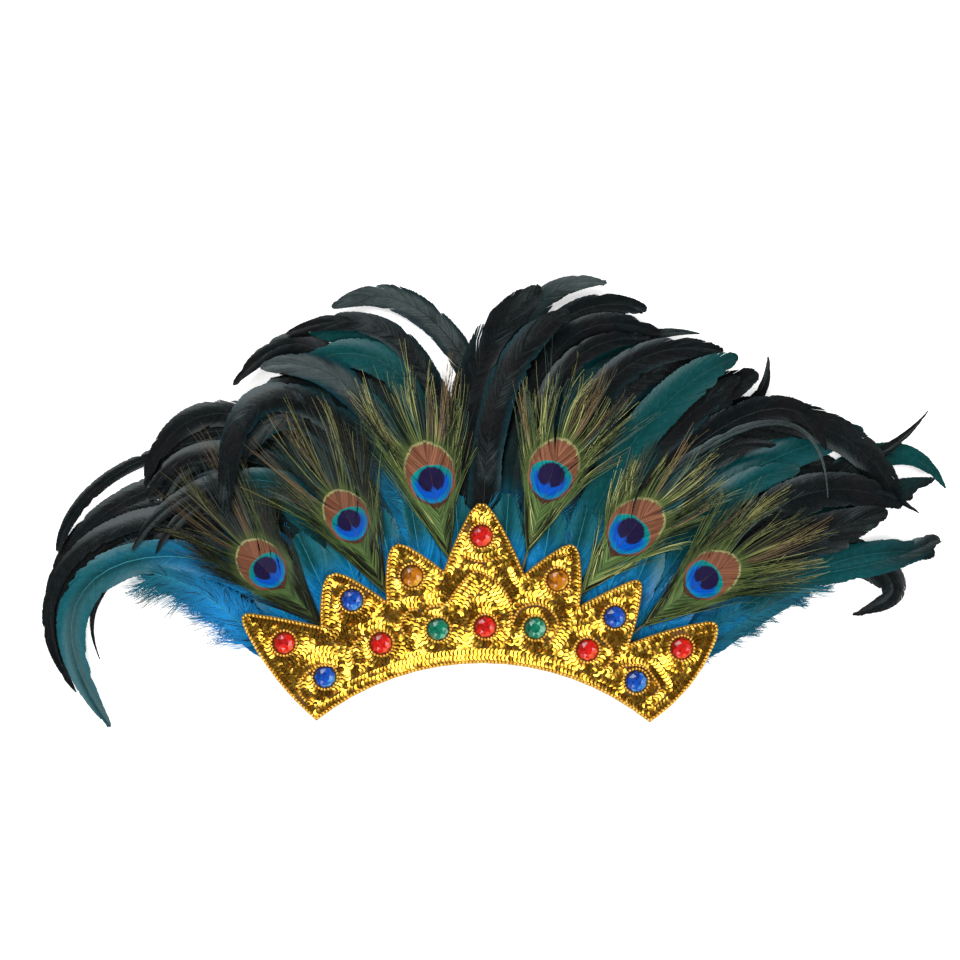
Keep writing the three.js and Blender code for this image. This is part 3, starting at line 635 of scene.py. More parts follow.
def cock_blocks(rows, seed, lowest=-math.inf, over=math.inf):
    """The vanes, down and shafts of the rows whose level lies from the lowest to under the upper one."""
    blocks = []
    for number, row in enumerate(rows):
        feather = Feather(row, seed + number)
        if not lowest <= feather.row["level"] < over:
            continue
        if feather.row["taper"]:
            blocks += [vane_half(feather, 1), vane_half(feather, -1)]
        if feather.row["down"]:
            count = feather.row["down"] * DOWN["thicker"]
            blocks += [down_half(feather, side, count) for side in (1, -1)]
        t = np.linspace(0, VANE["last"], SHAFT["steps"])
        radii = SHAFT["root"] + (SHAFT["tip"] - SHAFT["root"]) * t ** SHAFT["taper"]
        path = feather.surface(t * feather.length, 0 * t) + UP * SHAFT["proud"]
        uv = np.stack([t, 0 * t], axis=-1)
        marks = {"barb": 0.5, "part": PART["shaft"]} | feather.marks
        blocks.append(round_shaft(path, radii, SHAFT["sides"], uv, marks))
    return blocks


cock_finish, cock_shader, cock = finish(
    "dyed_cock_feather", specular_ior_level=0.26, specular_tint=(0.86, 0.98, 1.0, 1.0))
vane_uv = {"Vector": cock.add("UVMap", {"uv_map": "vane"}, {})}
along = cock.add("SeparateXYZ", {}, vane_uv, out="X")
across = abs(cock.add("SeparateXYZ", {}, vane_uv, out="Y"))
barb, part, black_from, blue_dye, gloss = [
    cock.mark(name) for name in ("barb", "part", "black_from", "blue", "gloss")]
patches = cock.grain(38.0, 3.0)
mottle = cock.grain(260.0, 2.0)
sheen_teal = across.ease(0.1, 0.5).between(paint(0, 54, 60), paint(18, 82, 92))
teal = blue_dye.between(paint(0, 54, 53), sheen_teal)
foot_share = (along + (patches - 0.5) * 0.25 - blue_dye * 0.24).ease(0.1, 0.42)
foot_blue = (patches * 0.6 + barb * 0.5).ease(0.3, 0.8).between(paint(0, 74, 112), paint(0, 124, 190))
dyed = foot_share.between(foot_blue, teal)
warm_black = patches.ease(0.35, 0.65).between(paint(13, 12, 13), paint(4, 10, 12))
# Painted sheen: the black is lightened to grey-green in patches and fine streaks. It is stronger on
# feathers with a larger share and weaker towards the edges.
painted_sheen = gloss + (patches - 0.5) * 1.1 + (barb - 0.5) * 0.7 - across.ease(0.4, 1.0) * 0.25
black_with_painted_sheen = painted_sheen.ease(0.5, 1.1).between(warm_black, paint(56, 65, 65))
# Painted teal sheen: the outer parts of the black vanes turn teal, more on bluer feathers and on those with
# more painted sheen.
painted_teal_edge_sheen = (blue_dye * 1.2).between(paint(6, 16, 18), paint(0, 76, 88))
black_with_painted_edge_sheen = (across.ease(0.5, 1.0) * gloss.ease(0.2, 0.8)).between(black_with_painted_sheen, painted_teal_edge_sheen)
turn_black = (along + (patches - 0.5) * 0.35 + (barb - 0.5) * 0.16 - black_from).ease(-0.16, 0.14)
vane_colour = turn_black.between(dyed, black_with_painted_edge_sheen)
is_down = 1 - abs(part - PART["down"])
down_foot = blue_dye.between(paint(0, 122, 146), paint(0, 122, 186))
down_colour = (along + barb * 0.1 - blue_dye * 0.3).ease(0.1, 0.5).between(down_foot, paint(0, 92, 112))
down_colour = barb.ease(0.8, 0.88).between(down_colour, paint(4, 52, 72))
dark_tips = across.ease(0.9, 1.3) * along.ease(0.35, 0.6) * blue_dye.ease(1.2, 1.5)
down_colour = dark_tips.between(down_colour, paint(20, 32, 36))
vane_colour = is_down.ease(0.2, 0.8).between(vane_colour, down_colour)
is_shaft = part.ease(1.4, 1.8)
dyed_shaft = blue_dye.between(paint(4, 52, 58), paint(40, 128, 140))
shaft_colour = turn_black.between(dyed_shaft, paint(18, 19, 20))
vane_colour = is_shaft.between(vane_colour, shaft_colour)
shade = 0.78 + barb * 0.45 + (mottle - 0.5) * 0.35
vane_colour = cock.add("HueSaturation", {}, {"Value": shade, "Color": vane_colour})
vane_colour.into(cock_shader, "Base Color")
(0.14 + mottle * 0.12 + barb * 0.12 + is_down * 0.3).into(cock_shader, "Roughness")

for side_name, rows in (("left", LEFT_COCKS), ("right", RIGHT_COCKS)):
    for row_name, lowest, over in (("back", 0, BACK_LEVELS), ("front", BACK_LEVELS, math.inf)):
        blocks = cock_blocks(rows, COCK_SEEDS[side_name], lowest, over)
        fringe = feather_piece(f"cock_feathers_{side_name}_{row_name}", blocks, cock_finish)
        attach(fringe, "root")
        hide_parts(f"cock_fringe_{side_name}_{row_name}")

# Fill feathers
# Shorter feathers of the same dye lie at the very back, one between each two neighbours, and close the
# fan where the long ones part. Short turquoise tufts stand in front, round the crown's upper edge.
FILL = {
    "shorter": 0.92, "width": 30.0, "level": -0.05, "taper": 0.68, "tips_over": 70,
    "black_from": [0.4, 0.45, 0.7], "bluest": 0.4,
}
TUFT_DEGS = [-32, -25, -20, -14, -9.5, -3.5, 3.5, 9.5, 14, 20.5, 24, 31]
TUFT = {"knee": 252.0, "crest": 286.0, "tip": 328.0, "level": 5, "black_from": 2.0, "blue": 1.6}
TUFT_VANE = {"width": 27.0, "down": 20, "taper": 0.65}
TUFT_FLUFF = {"width": 14.0, "down": 70, "taper": 0}
DYE_SEEDS = {"left": 41, "right": 42}
FILL_SEEDS = {"left": 500, "right": 600}
TUFT_SEED = 650

CREST_X, CREST_Y, TIP_Y = [COCK_COLUMNS.index(name) for name in ("crest_x", "crest_y", "tip_y")]
# The topmost feather on the left stands clear of its neighbours.
PARTED_OVER = 244
PARTED = [row for row in LEFT_COCKS if row[CREST_Y] > PARTED_OVER]


def fill_rows(rows, seed):
    """A shorter row between each two neighbours of a fringe."""
    chance = np.random.default_rng(seed)
    ordered = sorted(rows, key=lambda row: math.atan2(row[CREST_X], row[CREST_Y] + ARC_DROP))
    made = []
    for first, second in zip(ordered, ordered[1:]):
        if first in PARTED or second in PARTED or min(first[TIP_Y], second[TIP_Y]) < FILL["tips_over"]:
            continue
        middle = (np.array(first[:TIP_Y + 1], float) + np.array(second[:TIP_Y + 1])) / 2
        foot = on_ring(middle[0], ROOT_RADIUS)
        line = foot + (middle[1:].reshape(3, 2) - foot) * FILL["shorter"]
        dye = [chance.choice(FILL["black_from"]), chance.uniform(0, FILL["bluest"]), 0]
        made.append([middle[0], *line.ravel(), FILL["width"], FILL["level"], 0, *dye, FILL["taper"]])
    return made


tufts = []
for deg in TUFT_DEGS:
    line = [on_ring(deg, TUFT[place]) for place in ("knee", "crest", "tip")]
    for kind in (TUFT_VANE, TUFT_FLUFF):
        dye = [TUFT["black_from"], TUFT["blue"], kind["down"], kind["taper"]]
        tufts.append([deg, *np.concatenate(line), kind["width"], TUFT["level"], 0, *dye])
for name, rows, seed in (
    ("fill_feathers_left", fill_rows(LEFT_COCKS, DYE_SEEDS["left"]), FILL_SEEDS["left"]),
    ("fill_feathers_right", fill_rows(RIGHT_COCKS, DYE_SEEDS["right"]), FILL_SEEDS["right"]),
    ("turquoise_tufts", tufts, TUFT_SEED),
):
    filler = feather_piece(name, cock_blocks(rows, seed), cock_finish)
    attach(filler, "root")

# Peacock feathers
# Six natural peacock eye feathers over the cock feathers: a thin shaft, barbs that close up into the
# eye and part into loose herl past it. The colours are bands about the eye.
# The stem thins and rises through the herl towards the eye, at places along it from the eye.
STEM = {
    "height": 11.2, "steps": 20, "sides": 6, "thins": [-80.0, -50.0, 22.0], "radii": [1.2, 0.5, 0.12],
    "rises": [-60, 0], "proud": [0, 0.9],
}
BENDS_FROM = 8
PLUME_SEED = 700
SEEDS_EACH = 10
PEACOCKS = [
    {"eye": (-163, 54), "heading": -45, "bend": 2, "rise": 0.11, "size": 0.88, "bright": 0.52},
    {"eye": (-100, 90), "heading": -27, "bend": -6, "rise": 0.145, "size": 0.86, "bright": 0.66},
    {"eye": (-38, 121), "heading": -12, "bend": -5, "rise": 0.11, "size": 1.0, "bright": 0.95},
    {"eye": (52, 124), "heading": 17, "bend": 5, "rise": 0.145, "size": 1.0, "bright": 1.0},
    {"eye": (112, 82), "heading": 38, "bend": 8, "rise": 0.11, "size": 1.02, "bright": 1.0},
    {"eye": (169, 47), "heading": 53, "bend": 8, "rise": 0.145, "size": 0.92, "bright": 0.8},
]
HERL = {
    "each_side": 340, "first": -62.0, "last": 22.0, "steps": 12, "half": 0.25, "lock": 8, "tilt": 0.12,
    "shortest": 0.75, "longest": 1.04, "frays_from": 0.45, "fray_power": 1.5, "fray_growth": 2,
    "root_width": 1.3, "narrows": 0.95,
}
HERL_WAVE = {"rate": 5, "starts": (0, 6), "starts_share": 0.3}
HERL_TONE = {"lock": 0.4, "barb": 0.6, "middle": 0.48, "contrast": 1.6}
# How far locks and single barbs stray, in degrees, as a share of the length, and in millimetres.
LOCK_STRAYS = {"leaves": 0.8, "ends": 6.0, "length": 0.13, "frays": 13, "waves": 5, "tip_lift": 0.9}
HERL_STRAYS = {"ends": 2.0, "frays": 5, "lift": 0.2, "tip_lift": 0.4}
HERL_LIFT = {"first": 0.35, "grows": 0.5, "over": 83}
# Along the shaft from the eye: the angle a barb leaves at, the angle it ends at, and its length.
HERL_ALONG = [-62.0, -35.0, -10.0, 8.0, 22.0]
HERL_LEAVES = [26.0, 34.0, 46.0, 38.0, -4.0]
HERL_ENDS = [14.0, 17.0, 22.0, 16.0, -5.0]
HERL_LENGTH = [70.0, 84.0, 84.0, 80.0, 74.0]


def herl_half(feather, side, seed):
    """The barbs on one side of a peacock feather, in millimetres along and across from the eye."""
    chance = np.random.default_rng(seed)
    count, steps = HERL["each_side"], HERL["steps"]
    start = np.linspace(HERL["first"], HERL["last"], count)
    lock = in_locks(chance, count, HERL["lock"])

    def lock_stray(name):
        return for_locks(chance.normal, lock, 0, LOCK_STRAYS[name])

    def stray(name):
        return chance.normal(0, HERL_STRAYS[name], count)

    leaves = np.interp(start, HERL_ALONG, HERL_LEAVES) + lock_stray("leaves")
    ends = np.interp(start, HERL_ALONG, HERL_ENDS) + lock_stray("ends") + stray("ends")
    length = np.interp(start, HERL_ALONG, HERL_LENGTH) * (1 + lock_stray("length"))
    length = length * chance.uniform(HERL["shortest"], HERL["longest"], count)
    s = np.linspace(0, 1, steps)[None, :]
    turn = ends[:, None] + (leaves - ends)[:, None] * (1 - s) ** 2
    frays = lock_stray("frays") + stray("frays")
    frayed = np.clip(s - HERL["frays_from"], 0, None) ** HERL["fray_power"] * HERL["fray_growth"]
    turn = turn + frays[:, None] * frayed
    waves = lock_stray("waves")
    wave_start = chance.uniform(*HERL_WAVE["starts"], count)[:, None] * HERL_WAVE["starts_share"]
    turn = np.radians(turn + waves[:, None] * np.sin(s * HERL_WAVE["rate"] + wave_start) * s)
    step = (length / (steps - 1))[:, None]
    along, across = curled(turn, step)
    along = along + start[:, None]
    along_share = (start - HERL["first"]) / HERL_LIFT["over"]
    lift = HERL_LIFT["first"] + HERL_LIFT["grows"] * along_share + stray("lift")
    tip_lift = lock_stray("tip_lift") + stray("tip_lift")
    lift = lift[:, None] + tip_lift[:, None] * s ** 2
    widths = HERL["half"] * (HERL["root_width"] - HERL["narrows"] * s) * np.ones((count, 1))
    tone = HERL_TONE["lock"] * for_locks(chance.random, lock) + HERL_TONE["barb"] * chance.random(count)
    tone = np.clip(HERL_TONE["middle"] + (tone - 0.5) * HERL_TONE["contrast"], 0, 1)
    lock_tone = for_locks(chance.random, lock)
    marks = {"barb": tone * feather["bright"], "lock": lock_tone, "part": PART["vane"]}
    scale = (1 / feather["size"], 1 / feather["size"])
    shape = functools.partial(on_feather, feather)
    return strips(shape, along, across * side, widths, lift, HERL["tilt"] * side, scale, marks)


def on_feather(feather, along, across):
    """Points on a peacock feather from their places along and to the left of it."""
    turn = math.radians(feather["heading"])
    ahead = np.array([math.sin(turn), math.cos(turn)])
    left = np.array([-ahead[1], ahead[0]])
    swept = across - math.sin(math.radians(feather["bend"])) * np.maximum(0, along - BENDS_FROM)
    flat = np.array(feather["eye"]) + along[..., None] * ahead + swept[..., None] * left
    height = STEM["height"] + feather["rise"] * np.maximum(0, spread_of(flat) - COVERED)
    return np.concatenate([flat, height[..., None]], axis=-1)


def stem_reach(feather):
    """How far behind the eye a stem meets the circle of the feather roots."""
    turn = math.radians(feather["heading"])
    x, y = feather["eye"][0], feather["eye"][1] + ARC_DROP
    back = x * math.sin(turn) + y * math.cos(turn)
    return back - math.sqrt(back * back - x * x - y * y + ROOT_RADIUS ** 2)


peacock_finish, peacock_shader, peacock = finish("peacock_eye_feather", specular_ior_level=0.16)
eye_uv = {"Vector": peacock.add("UVMap", {"uv_map": "vane"}, {})}
ahead_mm = peacock.add("SeparateXYZ", {}, eye_uv, out="X")
across_mm = abs(peacock.add("SeparateXYZ", {}, eye_uv, out="Y"))
strand, lock_mark, stem_mark = [peacock.mark(name) for name in ("barb", "lock", "part")]
flecks = peacock.grain(120.0, 3.0)
wobble = (strand - 0.5) * 0.07 + (flecks - 0.5) * 0.1


def oval(middle, length, width):
    """How far out a point lies in an oval about the shaft, 1 at its rim."""
    return (((ahead_mm - middle) / length) ** 2 + (across_mm / width) ** 2) ** 0.5


herl_tone = peacock.add("ValToRGB", {"stops": [
    (0.0, paint(4, 5, 4)), (0.3, paint(20, 25, 16)), (0.5, paint(50, 66, 30)),
    (0.68, paint(100, 112, 60)), (0.82, paint(50, 76, 36)), (1.0, paint(172, 174, 112))]}, {"Fac": strand})
bronze_tone = strand.ease(0.2, 1.0).between(paint(12, 12, 9), paint(158, 158, 100))
far_out = (ahead_mm + flecks * 40).ease(45.0, 95.0)
eye_colour = far_out.between(herl_tone, bronze_tone)
copper_lock = lock_mark.ease(0.84, 0.88) * ahead_mm.ease(4.0, 34.0)
eye_colour = copper_lock.between(eye_colour, strand.between(paint(30, 22, 16), paint(118, 100, 72)))
silver_lock = lock_mark.ease(0.3, 0.24) * ahead_mm.ease(8.0, 40.0)
eye_colour = silver_lock.between(eye_colour, strand.between(paint(10, 17, 16), paint(74, 94, 84)))
green_halo = strand.between(paint(34, 46, 24), paint(94, 108, 58))
brown_oval = oval(1.8, 25.0, 18.0) + (ahead_mm.ease(-8.0, -26.0) * across_mm) * 0.018 + wobble
eye_colour = brown_oval.ease(1.5, 1.1).between(eye_colour, green_halo)
cup_green = brown_oval.ease(1.4, 1.08) * ahead_mm.ease(4.0, -14.0)
in_vee = ahead_mm.ease(-20.0, -26.0) * (across_mm + (ahead_mm + 48) * -0.24).ease(1.6, -0.6)
vee_green = strand.between(paint(46, 68, 34), paint(96, 120, 66))
eye_colour = cup_green.between(eye_colour, vee_green)
eye_colour = in_vee.between(eye_colour, vee_green)
pale_rim = brown_oval.ease(1.1, 1.06) * brown_oval.ease(0.99, 1.03)
pale_rim = pale_rim * ahead_mm.ease(0.0, 14.0) * flecks.ease(0.3, 0.55)
eye_colour = pale_rim.between(eye_colour, paint(150, 146, 98))
in_oval = brown_oval.ease(1.03, 0.98)
brown = strand.between(paint(102, 62, 42), paint(134, 88, 66))
eye_colour = in_oval.between(eye_colour, ahead_mm.ease(-8.0, -20.0).between(brown, paint(66, 42, 28)))
shield_mm = across_mm * (1 - (ahead_mm + 4) * 0.013)
cyan_disc = (((ahead_mm + 4.2) / 14.6) ** 2 + (shield_mm / 15.4) ** 2) ** 0.5 + wobble
rim_cyan = ahead_mm.ease(-8.0, 6.0).between(paint(2, 112, 158), paint(4, 124, 122))
eye_colour = cyan_disc.ease(1.02, 0.97).between(eye_colour, rim_cyan)
eye_colour = (cyan_disc.ease(0.9, 0.7) * ahead_mm.ease(4.0, -2.0)).between(eye_colour, paint(0, 76, 176))
heart = oval(-0.4, 9.8, 10.6) + wobble
notch = (ahead_mm + across_mm * 1.5).ease(-7.5, -4.0)
eye_colour = (heart.ease(1.05, 0.88) * notch).between(eye_colour, paint(26, 18, 56))
stem_tone = ahead_mm.ease(-60.0, 0.0).between(paint(92, 84, 56), paint(52, 44, 30))
eye_colour = stem_mark.ease(1.4, 1.8).between(eye_colour, stem_tone)
eye_shade = 0.75 + strand * 0.4
eye_colour = peacock.add("HueSaturation", {}, {"Value": eye_shade, "Color": eye_colour})
eye_colour.into(peacock_shader, "Base Color")
(0.22 + flecks * 0.16).into(peacock_shader, "Roughness")

for number, feather in enumerate(PEACOCKS, 1):
    blocks = [herl_half(feather, side, PLUME_SEED + SEEDS_EACH * number + side) for side in (1, -1)]
    stem_along = np.linspace(-stem_reach(feather), HERL["last"], STEM["steps"])
    stem_radii = np.interp(stem_along, STEM["thins"], STEM["radii"])
    stem_proud = np.interp(stem_along, STEM["rises"], STEM["proud"])
    stem_path = on_feather(feather, stem_along, 0 * stem_along) + UP * stem_proud[:, None]
    stem_uv = np.stack([stem_along, 0 * stem_along], axis=-1)
    stem_marks = {"barb": 0.5, "lock": 0.5, "part": PART["shaft"]}
    blocks.append(round_shaft(stem_path, stem_radii, STEM["sides"], stem_uv, stem_marks))
    plume = feather_piece(f"peacock_plume_{number}", blocks, peacock_finish)
    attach(plume, "root")
    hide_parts(f"peacock_feather_{number}")

# Crown panel
# A stiff card crown covered in gold satin, cut to seven points over the arch of the brow. It carries
# all of the beadwork, and only its folded edge and the cloth between the sequins show.
SATIN_GOLD = (214, 170, 52)
SATIN_DEEP = (138, 96, 22)
SATIN_PAINTED_SHADE = (58, 36, 8)
THREAD_PITCH = 0.0005
satin_finish, satin_shader, satin = finish("gold_satin", metallic=0.35)
threads = {"Vector": satin.place(), "Scale": 1 / (THREAD_PITCH * WAVE_RATE)}
warp = satin.add("TexWave", {"bands_direction": "X"}, threads)
weft = satin.add("TexWave", {"bands_direction": "Y"}, threads)
satin_wear = satin.grain(90.0, 4.0)
facing = satin.add("SeparateXYZ", {}, {"Vector": satin.add("NewGeometry", {}, {}, out="Normal")}, out="Z")
# Painted shade: satin that faces up, between the sequins, is darkened as if shaded by them. Only the folded
# edge, which faces sideways, keeps the bright gold.
folded = abs(facing).ease(0.97, 0.8)
satin_weave = warp * weft * 0.5 + satin_wear * 0.6
satin_in_painted_shade = satin_weave.between(paint(*SATIN_PAINTED_SHADE), paint(*SATIN_DEEP))
satin_tone = folded.between(satin_in_painted_shade, satin_weave.between(paint(*SATIN_DEEP), paint(*SATIN_GOLD)))
satin_tone.into(satin_shader, "Base Color")
(0.35 + satin_wear * 0.25).into(satin_shader, "Roughness")
satin_bump = satin.add("Bump", {}, {"Strength": 0.4, "Distance": 0.0002, "Height": warp * weft})
satin_bump.into(satin_shader, "Normal")
crown_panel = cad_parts["crown_panel"]
crown_panel.data.materials.clear()
crown_panel.data.materials.append(satin_finish)

# Edge beading
# A string of small round gold beads, couched on the face along the crown's whole outline, just in from
# the folded edge. Each bead is a plated ball, a little shorter along the string.
CROWN_POINTS = [
    {"deg": -37.7, "radius": 302, "round": 0.16, "left": 12, "right": 2, "notch": (-28, 258)},
    {"deg": -23, "radius": 297, "round": 0.34, "left": 4.5, "right": 2.5, "notch": (-16.2, 257)},
    {"deg": -13, "radius": 302, "round": 0.3, "left": 4.5, "right": 3, "notch": (-6.1, 271)},
    {"deg": -0.1, "radius": 328, "round": 0.26, "left": 4, "right": 4, "notch": (6.8, 269)},
    {"deg": 13.6, "radius": 302, "round": 0.26, "left": 3, "right": 5, "notch": (16.8, 254)},
    {"deg": 24.5, "radius": 292, "round": 0.2, "left": 2, "right": 4, "notch": (27.3, 242)},
    {"deg": 37.8, "radius": 295, "round": 0.16, "left": 5, "right": 18, "notch": (39, 200)},
]
BROW_LEFT_DEG = -38.4
BROW_RADIUS = 200.0
PANEL_TOP = 15.7
EDGE_INSET = 1.45
# A sharp corner moves in by the inset divided by this at most.
SHARPEST = 0.5
EDGE_BEAD = {"radius": 1.4, "pitch": 2.75, "height": 17.1, "seed": 11}
BEAD_GOLD = (208, 150, 42)
BEAD_PALE = (246, 206, 104)
BEAD_STRAYS = {"height": 0.06, "turn": 0.12, "roll": 3}
BEAD_SHORT = 0.92
OUTLINE_STEPS = {"side": 10, "tip": 8, "brow": 60}


def bend(start, control, end, steps):
    """Points of a curve that leaves its start and reaches its end towards one control point."""
    t = np.linspace(0, 1, steps, endpoint=False)[:, None]
    return (1 - t) ** 2 * start + 2 * t * (1 - t) * control + t ** 2 * end


def crown_outline():
    """The crown's outline from the left brow corner over the seven points and back along the brow."""
    foot = on_ring(BROW_LEFT_DEG, BROW_RADIUS)
    runs = []
    for point in CROWN_POINTS:
        tip = on_ring(point["deg"], point["radius"])
        next_foot = on_ring(*point["notch"])
        sides = []
        for base, bulge, outwards in ((foot, point["left"], 1), (next_foot, point["right"], -1)):
            run = (tip - base) / np.linalg.norm(tip - base)
            control = (base + tip) / 2 + np.array([-run[1], run[0]]) * bulge * outwards
            share = 1 - point["round"]
            shoulder = (1 - share) ** 2 * base + 2 * share * (1 - share) * control + share ** 2 * tip
            sides.append((base + (control - base) * share, shoulder))
        (up_control, left_shoulder), (down_control, right_shoulder) = sides
        runs.append(bend(foot, up_control, left_shoulder, OUTLINE_STEPS["side"]))
        runs.append(bend(left_shoulder, tip, right_shoulder, OUTLINE_STEPS["tip"]))
        runs.append(bend(right_shoulder, down_control, next_foot, OUTLINE_STEPS["side"]))
        foot = next_foot
    brow_right_deg = CROWN_POINTS[-1]["notch"][0]
    brow = np.linspace(brow_right_deg, BROW_LEFT_DEG, OUTLINE_STEPS["brow"], endpoint=False)
    runs.append(on_ring(brow, BROW_RADIUS))
    return np.concatenate(runs)


def moved_in(points, distance):
    """A closed outline moved inwards by an even distance."""
    before = points - np.roll(points, 1, axis=0)
    after = np.roll(points, -1, axis=0) - points
    before /= np.linalg.norm(before, axis=1, keepdims=True)
    after /= np.linalg.norm(after, axis=1, keepdims=True)
    inwards = np.stack([before[:, 1] + after[:, 1], -before[:, 0] - after[:, 0]], axis=-1)
    inwards /= np.linalg.norm(inwards, axis=1, keepdims=True)
    stretch = np.maximum(SHARPEST, inwards[:, 0] * after[:, 1] - inwards[:, 1] * after[:, 0])
    return points + inwards * (distance / stretch)[:, None]


def strung_along(points, pitch):
    """Places at an even pitch along a line, with the direction of the line at each."""
    steps = np.linalg.norm(np.diff(points, axis=0), axis=1)
    run = np.concatenate([[0.0], np.cumsum(steps)])
    count = max(2, round(run[-1] / pitch))
    at = (np.arange(count) + 0.5) * run[-1] / count
    places = np.stack([np.interp(at, run, points[:, k]) for k in (0, 1)], axis=-1)
    ahead = np.gradient(places, axis=0)
    return places, np.arctan2(ahead[:, 1], ahead[:, 0])


def bead_shape(radius):
    """A round bead, a little shorter along its string."""
    bead = bmesh.new()
    bmesh.ops.create_uvsphere(bead, u_segments=8, v_segments=5, radius=radius)
    bmesh.ops.rotate(bead, verts=bead.verts, cent=(0, 0, 0), matrix=Matrix.Rotation(math.pi / 2, 3, "Y"))
    bmesh.ops.scale(bead, vec=(BEAD_SHORT, 1.0, 1.0), verts=bead.verts)
    for face in bead.faces:
        face.smooth = True
    return bead


def strew(name, shape, places, material, mark):
    """One object of many copies of a small shape, each at its matrix, with a mark for each copy."""
    pattern = bpy.data.meshes.new(name + "_pattern")
    shape.to_mesh(pattern)
    shape.free()
    whole = bmesh.new()
    for place in places:
        copy = pattern.copy()
        copy.transform(place)
        whole.from_mesh(copy)
        bpy.data.meshes.remove(copy)
    points = len(pattern.vertices)
    bpy.data.meshes.remove(pattern)
    piece = piece_from(name, whole, material)
    values = np.repeat(np.asarray(mark, np.float32), points)
    piece.data.attributes.new("copy", "FLOAT", "POINT").data.foreach_set("value", values)
    return piece


def bead_places(strings, height, seed):
    """A matrix for each bead of some strings, turned along its string."""
    chance = np.random.default_rng(seed)
    matrices = []
    for places, turns in strings:
        for (x, y), turn in zip(places, turns):
            at = in_frame([x, y, height + chance.normal(0, BEAD_STRAYS["height"])])
            swing = Matrix.Rotation(turn + chance.normal(0, BEAD_STRAYS["turn"]), 4, "Z")
            roll = Matrix.Rotation(chance.uniform(0, BEAD_STRAYS["roll"]), 4, "X")
            matrices.append(Matrix.Translation(at) @ (swing @ roll))
    return matrices


def sewn_beads(name, strings, bead):
    """One object of all the beads of some strings, which rides with the crown."""
    places = bead_places(strings, bead["height"], bead["seed"])
    tints = np.random.default_rng(bead["seed"] + 1).random(len(places))
    beads = strew(name, bead_shape(bead["radius"] * MM), places, bead_finish, tints)
    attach(beads, "root")
    return beads


bead_finish, bead_shader, plating = finish("gold_plated_bead", metallic=1.0)
bead_film = plating.grain(420.0, 2.0)
bead_tint = plating.mark("copy") * 0.7 + bead_film * 0.4
bead_tint.between(paint(*BEAD_GOLD), paint(*BEAD_PALE)).into(bead_shader, "Base Color")
(0.28 + bead_film * 0.2).into(bead_shader, "Roughness")

outline = crown_outline()
edge_line = moved_in(outline, EDGE_INSET)
edge_string = strung_along(np.concatenate([edge_line, edge_line[:1]]), EDGE_BEAD["pitch"])
edge_beads = sewn_beads("edge_bead_string", [edge_string], EDGE_BEAD)
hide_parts("edge_beading")

# Stones
# Fourteen round acrylic stones with cut faces and a flat table, backed with foil, glued to the satin.
# Light comes back out of single faces, so each face has its own brightness, painted into its colour: faces
# turned to the lower right are painted brighter and the table darker, with a random spread.
STONES = [
    {"deg": -0.1, "radius": 295.5, "colour": "red"},
    {"deg": -11.2, "radius": 270.5, "colour": "amber"},
    {"deg": 12.2, "radius": 268.5, "colour": "amber"},
    {"deg": -21.5, "radius": 266, "colour": "blue"},
    {"deg": 23, "radius": 255, "colour": "blue"},
    {"deg": -34.6, "radius": 261.5, "colour": "red"},
    {"deg": 35.3, "radius": 259, "colour": "red"},
    {"deg": -19.4, "radius": 228, "colour": "red"},
    {"deg": 20.6, "radius": 224.5, "colour": "red"},
    {"deg": -8.3, "radius": 228, "colour": "green"},
    {"deg": 10, "radius": 230, "colour": "green"},
    {"deg": 0.6, "radius": 227.5, "colour": "red"},
    {"deg": -31.8, "radius": 223.5, "colour": "blue"},
    {"deg": 31.8, "radius": 219.5, "colour": "blue"},
]
STONE_SEED = 21
STONE = {"radius": 8.0, "girdle": 1.2, "height": 4.6, "seat": 16.0, "sides": 9, "dome": 0.2}
# Each ring of faces above the girdle: its share of the height left, and its width beside the one below.
STONE_RINGS = [(0.6, 0.8), (0.4, 0.58)]
# The middle and spread of the faces' brightness, the side that they brighten to, and how dim the table is.
FACE_LIGHT = {
    "middle": 0.56, "spread": 0.18, "towards": (0.65, -0.65, 0.0), "table_dim": 0.25, "table_power": 8,
}
STONE_COLOURS = {
    "red": [(104, 4, 6), (200, 20, 12), (255, 116, 78)],
    "amber": [(66, 34, 8), (176, 104, 6), (250, 204, 86)],
    "blue": [(2, 26, 84), (6, 70, 168), (96, 182, 242)],
    "green": [(0, 60, 46), (4, 114, 86), (160, 232, 206)],
}


def cut_stone(place, turn):
    """A cut stone: a girdle, two rings of three-cornered faces and a flat table."""
    stone = bmesh.new()
    outer = STONE["radius"] * MM
    bmesh.ops.create_circle(stone, cap_ends=True, segments=STONE["sides"], radius=outer)
    top = stone.faces[:]
    half_side = math.pi / STONE["sides"]
    rise = STONE["height"] - STONE["girdle"]
    cuts = [(rise * share, width, half_side) for share, width in STONE_RINGS]
    for lift, shrink, twist in [(STONE["girdle"], 1.0, 0.0), *cuts]:
        raised = bmesh.ops.extrude_face_region(stone, geom=top)
        rim = [v for v in raised["geom"] if isinstance(v, bmesh.types.BMVert)]
        top = [f for f in raised["geom"] if isinstance(f, bmesh.types.BMFace)]
        bmesh.ops.translate(stone, verts=rim, vec=(0, 0, lift * MM))
        bmesh.ops.scale(stone, verts=rim, vec=(shrink, shrink, 1.0))
        bmesh.ops.rotate(stone, verts=rim, cent=(0, 0, 0), matrix=Matrix.Rotation(twist, 3, "Z"))
    bmesh.ops.poke(stone, faces=top, offset=STONE["dome"] * MM)
    bmesh.ops.triangulate(stone, faces=[f for f in stone.faces if len(f.verts) == 4])
    bmesh.ops.recalc_face_normals(stone, faces=stone.faces)
    seated = Matrix.Translation(place) @ Matrix.Rotation(turn, 4, "Z")
    bmesh.ops.transform(stone, verts=stone.verts, matrix=seated)
    return stone


